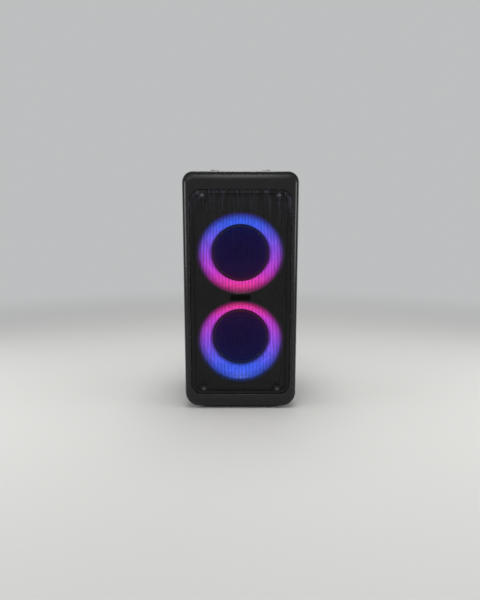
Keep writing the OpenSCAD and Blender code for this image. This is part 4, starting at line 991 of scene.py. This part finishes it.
for name, x in keyX.items():
    low, high = keyBox[name]
    r, floorLine = key["radius"], high.z - key["dish"]
    markLow, markHigh = floorLine - key["markSink"], floorLine + key["markTop"]
    flangeLow, flangeHigh = under - 1.5 * mm, under - 0.3 * mm
    profile = [(tip, low.z), (2 * mm, low.z), (2 * mm, flangeLow), (key["flange"], flangeLow),
               (key["flange"], flangeHigh), (r, flangeHigh)]
    profile += [(r - c, high.z - s) for s, c in quarter(key["round"])]
    profile += [(r * s, floorLine + key["dish"] * (s / 0.86) ** 2.2)
                for s in (0.8, 0.68, 0.52, 0.36, 0.2, 0.02)]
    cap = lathe(profile, (x, keyRow, 0), (0, 0, 1), 64, closed=False)
    marks = [raised([(x + u * mm, keyRow + v * mm) for u, v in mark], atZ, markLow, markHigh)
             for mark in keyMarks[name]]
    piece = makeObject(name + "Key", joined([cap] + marks), 40)
    for polygon in piece.data.polygons:
        near = polygon.center
        onMark = len(polygon.vertices) <= 40 and abs(near.z - markHigh) < 1e-5
        side = abs(polygon.normal.z) < 0.2 and markLow - 0.01 * mm < near.z < markHigh + 0.01 * mm
        inside = Vector((near.x - x, near.y - keyRow)).length < 3.7 * mm
        polygon.material_index = int(inside and (onMark or side))
    done(piece, "key print", "key_plastic", name + "_button", body=name + "_key")

r, z, proud = guide["radius"], lightsBox[0].z, top + guide["proud"]
profile = [(tip, z), (r, z), (r, top - 0.1 * mm), (r * 0.8, top + 0.12 * mm), (r * 0.4, proud),
           (tip, proud)]
turned("statusLights", profile, [(x, lightRow, 0) for x in lightX], (0, 0, 1), 24, 60,
       "guide", "light_guide", "status_lights")
print("top panel made")


# ---- handle

bracketBox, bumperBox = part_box("handle_brackets"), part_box("handle_bumpers")
handle = sizes(
    armWide=12, armHigh=10, gripWide=22, gripHigh=12, bend=17, barrel=6.45, barrelEdge=0.8, bore=3.06,
    ribPitch=4.2) | {"half": bailBox[1].x, "bendSteps": 12, "ribs": 22}
bracket = sizes(radius=8.5, round=1.5, wide=12)
gripY, armX = bailBox[1].y - handle["gripWide"] / 2, handle["half"] - handle["armWide"] / 2


def bothSides(make):
    return joined([make(side) for side in (-1, 1)])


def crossSection(centre, across, wide, high, power=4.0, count=28):
    # a soft-cornered section standing across the bar
    ring = []
    for c, s in [(cos(2 * pi * k / count), sin(2 * pi * k / count)) for k in range(count)]:
        u = copysign(abs(c) ** (2 / power), c) * wide / 2
        v = copysign(abs(s) ** (2 / power), s) * high / 2
        ring.append(tuple(Vector(centre) + Vector(across) * u + Vector((0, 0, v))))
    return ring


def bailPath():
    # centre line from one pivot round the grip to the other, with the share of the grip's section
    bend, steps = handle["bend"], handle["bendSteps"]
    path = [((armX, y), (1, 0), share) for y, share in (
        (pivotY + 3 * mm, 0), (pivotY + 12 * mm, 0), (gripY - bend - 6 * mm, 0), (gripY - bend, 0.05))]
    for i in range(1, steps):
        c, s = cos(radians(90 * i / steps)), sin(radians(90 * i / steps))
        path.append(((armX - bend + bend * c, gripY - bend + bend * s), (c, s), 0.05 + 0.85 * i / steps))
    path += [((armX - bend, gripY), (0, 1), 0.92), ((armX - bend - 8 * mm, gripY), (0, 1), 1.0)]
    return path + [((-x, y), (-ax, ay), share) for (x, y), (ax, ay), share in reversed(path)]


rings = []
for (x, y), (ax, ay), share in bailPath():
    wide = handle["armWide"] + (handle["gripWide"] - handle["armWide"]) * share
    high = handle["armHigh"] + (handle["gripHigh"] - handle["armHigh"]) * share
    power = 3.6 if share < 0.5 else 3.0
    rings.append(crossSection((x, y, pivotZ), (ax, ay, 0), wide - 0.05 * mm, high, power))
r, e, long, bore = handle["barrel"], handle["barrelEdge"], handle["armWide"], handle["bore"]
ends = [(bore, 0), (r - e, 0), (r - 0.3 * e, 0.3 * e), (r, e)]
barrel = ends + [(radius, long - along) for radius, along in reversed(ends)]
build("bail", joined([skin(rings, caps=True), bothSides(lambda side: lathe(
    barrel, (side * (handle["half"] - long), pivotY, pivotZ), (side, 0, 0), 48))]), 40,
    "handle", "handle_plastic", "handle_bail", body="handle")


def ribsAlong():
    # ribs at an even pitch along the grip, from the first one's place
    tree, given = newTree("ribsAlong", {"Rib": "Geometry", "Count": "Int", "Pitch": "Float", "First": "Float",
                                        "Material": "Material"})
    line = addNode(tree, "GeometryNodeMeshLine", {
        "Count": given["Count"],
        "Start Location": addNode(tree, "CombineXYZ", {"X": given["First"]})[0],
        "Offset": addNode(tree, "CombineXYZ", {"X": given["Pitch"]})[0]}, mode="OFFSET")[0]
    copies = addNode(tree, "GeometryNodeInstanceOnPoints", {"Points": line, "Instance": given["Rib"]})[0]
    return finishTree(tree, copies, given["Material"])


gripRibs = makeObject("gripRibs", skin([
    crossSection((x * mm, gripY, pivotZ), (0, 1, 0), handle["gripWide"] + (lift - 0.4) * mm,
                 handle["gripHigh"] + (lift - 0.2) * mm, 3.0)
    for x, lift in ((-0.9, -0.6), (-0.5, 0.0), (0.5, 0.0), (0.9, -0.6))]), 30)
applyTree(gripRibs, ribsAlong(), {
    "Count": handle["ribs"], "Pitch": handle["ribPitch"], "Material": finishes["rubber"],
    "First": -(handle["ribs"] - 1) * handle["ribPitch"] / 2})
done(gripRibs, "rubber", "handle_plastic", body="handle")


def bracketEar(side):
    radius, e = bracket["radius"], bracket["round"]
    line = [(radius * cos(a), pivotZ + radius * sin(a)) for a in sweep(0, 180, 24)]
    line += [(-radius, top + 0.2 * mm), (radius, top + 0.2 * mm)]
    near, far = bracketBox[1].x - bracket["wide"], bracketBox[1].x

    def ear(shrink, x):
        share = 1 - shrink / radius
        return [(side * x, pivotY + u * share, pivotZ + (v - pivotZ) * share if v > top + 1 * mm else v)
                for u, v in line]

    return skin([ear(shrink * e, x) for shrink, x in (
        (1, near), (0.3, near + 0.3 * e), (0, near + e), (0, far - e), (0.3, far - 0.3 * e), (1, far))],
        caps=True)


tall = bumperBox[1].z - top
pinProfile = inMm((0.02, -20), (3, -20), (3, 0), (5, 0), (5, 1.1), (4.4, 1.75), (3.2, 2), (0.02, 2))
stopProfile = [(tip, 0), (5 * mm, 0), (4.5 * mm, tall * 0.6), (4.1 * mm, tall - 0.9 * mm),
               (3.4 * mm, tall - 0.2 * mm), (2.4 * mm, tall), (tip, tall)]
build("handleBrackets", bothSides(bracketEar), 38, "bracket", "bracket_metal", "handle_brackets")
build("handlePins", bothSides(lambda side: lathe(
    pinProfile, (side * bracketBox[1].x, pivotY, pivotZ), (side, 0, 0), 40)), 40,
    "pin", "pin_steel", "handle_pins")
turned("handleBumpers", stopProfile, [(x, middle("handle_bumpers").y, top) for x in (-armX, armX)], (0, 0, 1),
       40, 40, "rubber", "foot_rubber", "handle_bumpers")
print("handle made")


# ---- connector panel

usbBox, knobRow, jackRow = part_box("usb_port"), middle("guitar_knob").z, middle("instrument_jacks").z
sockets = sizes(knob=52, jack=52, aux=-14, inletHalf=12, inletTall=8, jackBore=3.3, boreEnd=97, bodyEnd=95.1,
                thread=0.35)
knobX, jackX = (-sockets["knob"], 0, sockets["knob"]), (-sockets["jack"], sockets["jack"])
floorY = rear - ioPlate["depth"]
backY = floorY - ioPlate["floorThick"]
flange, sheetT = ioPlate["flange"], ioPlate["sheet"]
ioPanel = makeObject("connectorPanel", skin(stack(
    ioArea, (-2 * mm, backY), (sheetT, backY), (sheetT, rear - sheetT), (flange, rear - sheetT),
    (flange, rear - 0.4 * mm), (flange - 0.4 * mm, rear), (flange - 1.2 * mm, rear), (2.8 * mm, rear),
    *[(s, rear - c) for s, c in quarter(2 * mm)], *[(-c, floorY + s) for s, c in quarter(3 * mm)],
    (-4 * mm, floorY)), caps=True))
cuts = [plug(radius * mm, (x, backY - 2 * mm, z), 8 * mm) for radius, across, z in (
    (4, knobX, knobRow), (5.1, jackX, jackRow), (3.6, (sockets["aux"],), jackRow)) for x in across]
usbHalf, usbTall = (usbBox[1] - usbBox[0]).xz / 2
for name, half, tall in (("usb_port", usbHalf, usbTall),
                         ("mains_inlet", sockets["inletHalf"], sockets["inletTall"])):
    centre, reach = middle(name), Vector((half + 0.2 * mm, 0, tall + 0.2 * mm))
    low, high = centre - reach, centre + reach
    cuts.append(block((low.x, backY - 2 * mm, low.z), (high.x, floorY + 5 * mm, high.z)))
inFlange = flange / 2 + 1.2 * mm
ioScrews = [(x * (ioArea["half"] - 8 * mm), rear, z) for x in (-1, 0, 1)
            for z in (ioArea["low"] - inFlange, ioArea["high"] + inFlange)]
sunk = inMm((0.02, -4), (1.9, -4), (1.9, -1.5), (3.2, 0), (3.2, 3), (0.02, 3))
carve(ioPanel, cuts + [lathe(sunk, place, (0, 1, 0), 32) for place in ioScrews])
done(ioPanel, "panelPlastic", "panel_plastic", "io_panel")
# countersunk heads with a socket, flush with the panel
setScrews("panelScrews", lathe(inMm((1.6, -9), (1.6, -1.5), (3.0, -0.1), (2.9, 0), (1.25, 0), (1.1, -0.1),
                                    (1.1, -1.0)), (0, 0, 0), (0, 1, 0), 24, closed=False), ioScrews, 5)

knob = sizes(
    radius=11, fluteDepth=0.55, lift=0.8, high=14, pointerWide=1.1, pointerSink=1, pointerFoot=3.2,
    pointerEdge=2.2) | {"start": radians(150), "flutes": 28}
r, h, f, base = knob["radius"], knob["high"], knob["fluteDepth"], floorY + knob["lift"]
# radius, height and depth of the flutes up the knob
knobProfile = [(3 * mm, -11.3 * mm, 0), (3 * mm, 0, 0), (r - 0.4 * mm, 0, 0), (r, 0.4 * mm, 0),
               (r, 2.2 * mm, 0), (r - 0.25 * mm, 2.8 * mm, f), (r - 1.0 * mm, h - 1.4 * mm, f),
               (r - 1.25 * mm, h - 0.7 * mm, 0.6 * f), (r - 1.9 * mm, h - 0.15 * mm, 0.1 * f),
               (r - 2.6 * mm, h, 0), (r - 3.1 * mm, h, 0), (r - 3.6 * mm, h - 0.35 * mm, 0),
               (tip, h - 0.5 * mm, 0)]
half, markBase, markTop = knob["pointerWide"] / 2, base + h - knob["pointerSink"], base + h - 0.02 * mm
markLow, markHigh = knobRow + knob["pointerFoot"], knobRow + r - knob["pointerEdge"]
for name, x in zip(("mic", "guitar", "echo"), knobX):
    fluted = lathe(knobProfile, (x, base, knobRow), (0, 1, 0), knob["flutes"] * 4, closed=False,
                   reach=lambda radius, a, depth: radius - depth * (0.5 + 0.5 * cos(knob["flutes"] * a)) ** 2)
    pointer = block((x - half, markBase, markLow), (x + half, markTop, markHigh))
    piece = makeObject(name + "Knob", joined([fluted, pointer]), 40)
    slack = 0.01 * mm
    for polygon in piece.data.polygons:
        near = polygon.center
        within = (abs(near.x - x) < half + slack and near.y > markBase - slack and
                  markLow - 0.1 * mm < near.z < markHigh + slack and len(polygon.vertices) == 4)
        flat = abs(polygon.normal.x) > 0.9 or abs(polygon.normal.z) > 0.9 or near.y > markTop - slack
        polygon.material_index = int(within and flat)
    # at rest the pointer stands at the low end of its scale
    axis = Matrix.Translation((x, 0, knobRow))
    piece.data.transform(axis @ Matrix.Rotation(knob["start"], 4, "Y") @ axis.inverted())
    done(piece, "knob print", "knob_plastic", name + "_knob", body=name + "_dial")

# a fine thread on the outside of each bush
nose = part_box("instrument_jacks")[1].y - floorY
bore, pitch, bodyEnd = sockets["jackBore"], sockets["thread"], sockets["bodyEnd"] - floorY
jackProfile = [(bore, sockets["boreEnd"] - floorY), (bore, nose - 0.4 * mm), (3.7 * mm, nose),
               (4.6 * mm, nose), (4.95 * mm, nose - pitch)]
jackProfile += [(5.0 * mm if i % 2 else 4.75 * mm, nose - pitch * (i + 1)) for i in range(1, 10)]
jackProfile += [(5.0 * mm, backY - floorY), (8 * mm, backY - floorY), (8 * mm, bodyEnd), (bore, bodyEnd)]
nutProfile = inMm((5.05, 0.0), (7.9, 0.0), (7.9, 2.5), (7.2, 3.0), (5.05, 3.0))
jacks = [(x, floorY, jackRow) for x in jackX]
turned("instrumentJacks", jackProfile, jacks, (0, 1, 0), 48, 30,
       "socket", "socket_plastic", "instrument_jacks")
build("jackNuts", joined([lathe(
    nutProfile, place, (0, 1, 0), 36, reach=lambda r, a: min(r * hexagon(a), 7.9 * mm) if r > 7.5 * mm else r)
    for place in jacks]), 30, "nickel", "socket_plastic")

# plain marks round the knobs and rings round the sockets, with no words
dial = sizes(inner=13.2, short=1.6, long=2.6, half=0.22) | {"marks": 11, "step": 27}
marks = [spoke(dial["inner"], dial["inner"] + dial["short" if i % 5 else "long"], dial["half"],
               radians(225 - dial["step"] * i), x, knobRow) for x in knobX for i in range(dial["marks"])]
marks += [arcBand(r * mm, (r + 0.45) * mm, 0, 359.5, x, jackRow, 48)
          for x, r in ((jackX[0], 10.2), (jackX[1], 10.2), (sockets["aux"], 5.6))]
build("panelMarks", joined([raised(mark, atY, floorY - 0.05 * mm, floorY + 0.12 * mm) for mark in marks]), 30,
      "print", "panel_plastic")
print("connector panel made")


# ---- bass port and feet

bore, flangeR, thick, steps = port["bore"], portBox[1].x, port["wall"], 16
flare = [(bore + c, -1.3 * s) for s, c in quarter(port["flare"], steps)]
flareBack = [(r + thick * cos(a), h - thick * sin(a))
             for (r, h), a in zip(reversed(flare), sweep(90, 0, steps))]
profile = [(bore, -port["length"]), *flare, (flangeR - 0.6 * mm, 0), (flangeR, -0.6 * mm),
           (flangeR, -thick), *flareBack, (bore + thick, -port["length"])]
turned("portTube", profile, [(0, rear, portCentre)], (0, 1, 0), 128, 35,
       "panelPlastic", "port_plastic", "port_tube")

r, high = foot["radius"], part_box("feet")[1].z
profile = [(1.9 * mm, high), (1.9 * mm, 3 * mm), (4.5 * mm, 3 * mm), (4.5 * mm, 0.5 * mm), (5.0 * mm, 0)]
profile += [(r - 1.5 * mm - s, c * 0.8) for s, c in quarter(foot["round"])]
profile += [(r - 0.2 * mm, high - 3 * mm), (r, high - 2.6 * mm), (r, high)]
turned("rubberFeet", profile, footPlaces, (0, 0, 1), 56, 35, "rubber", "foot_rubber", "feet")
print("port and feet made")


# ---- the CAD nodes that stay, each in its own finish

stay = {
    "baffle": "front_baffle", "blackScrew": "baffle_screws", "zincScrew": "feet_screws",
    "foam": "woofer_gaskets", "basket": "upper_basket lower_basket", "magnet": "upper_magnet lower_magnet",
    "spider": "upper_spider lower_spider", "copper": "upper_voice_coil lower_voice_coil",
    "whiteBoard": "upper_led_board lower_led_board", "greenBoard": "control_board amplifier_board",
    "heatSink": "heat_sink", "tanBoard": "power_supply", "cellWrap": "battery_pack", "tray": "battery_tray",
    "wire": "wiring", "socket": "aux_jack mains_inlet", "pin": "usb_port potentiometers",
}
for finish, names in stay.items():
    for name in names.split():
        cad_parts[name].data.materials.clear()
        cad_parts[name].data.materials.append(finishes[finish])


# ---- floor: real paint near the object, fading to the backdrop's own tone far from it

floorPaint, tree, shader, coords = newMaterial("paintedStudioFloor", studio["floorColour"], 0.8)
flat = addNode(tree, "VectorMath", {0: coords, 1: (1, 1, 0)}, operation="MULTIPLY")[0]
away = addNode(tree, "VectorMath", {0: flat}, operation="LENGTH")["Value"]
fade = addNode(tree, "MapRange", {
    "Value": away, "From Min": studio["fadeStart"], "From Max": studio["fadeEnd"]},
    interpolation_type="SMOOTHSTEP")[0]
far = addNode(tree, "Math", {0: fade, 1: seenRay(tree)}, operation="MULTIPLY")[0]
tone = addNode(tree, "Emission", {
    "Color": linearColour(studio["worldColour"]), "Strength": studio["backdrop"]})[0]
blend = addNode(tree, "MixShader", {0: far, 1: shader.outputs[0], 2: tone})[0]
wire(tree.nodes["Material Output"], {"Surface": blend})
sides, radius = studio["floorSides"], studio["floorRadius"]
floorMesh = bpy.data.meshes.new("studioFloor")
floorMesh.from_pydata([(radius * cos(2 * pi * k / sides), radius * sin(2 * pi * k / sides), 0)
                       for k in range(sides)], [], [tuple(range(sides))])
floorMesh.materials.append(floorPaint)
addObject("studioFloor", floorMesh)

print("all pieces made")
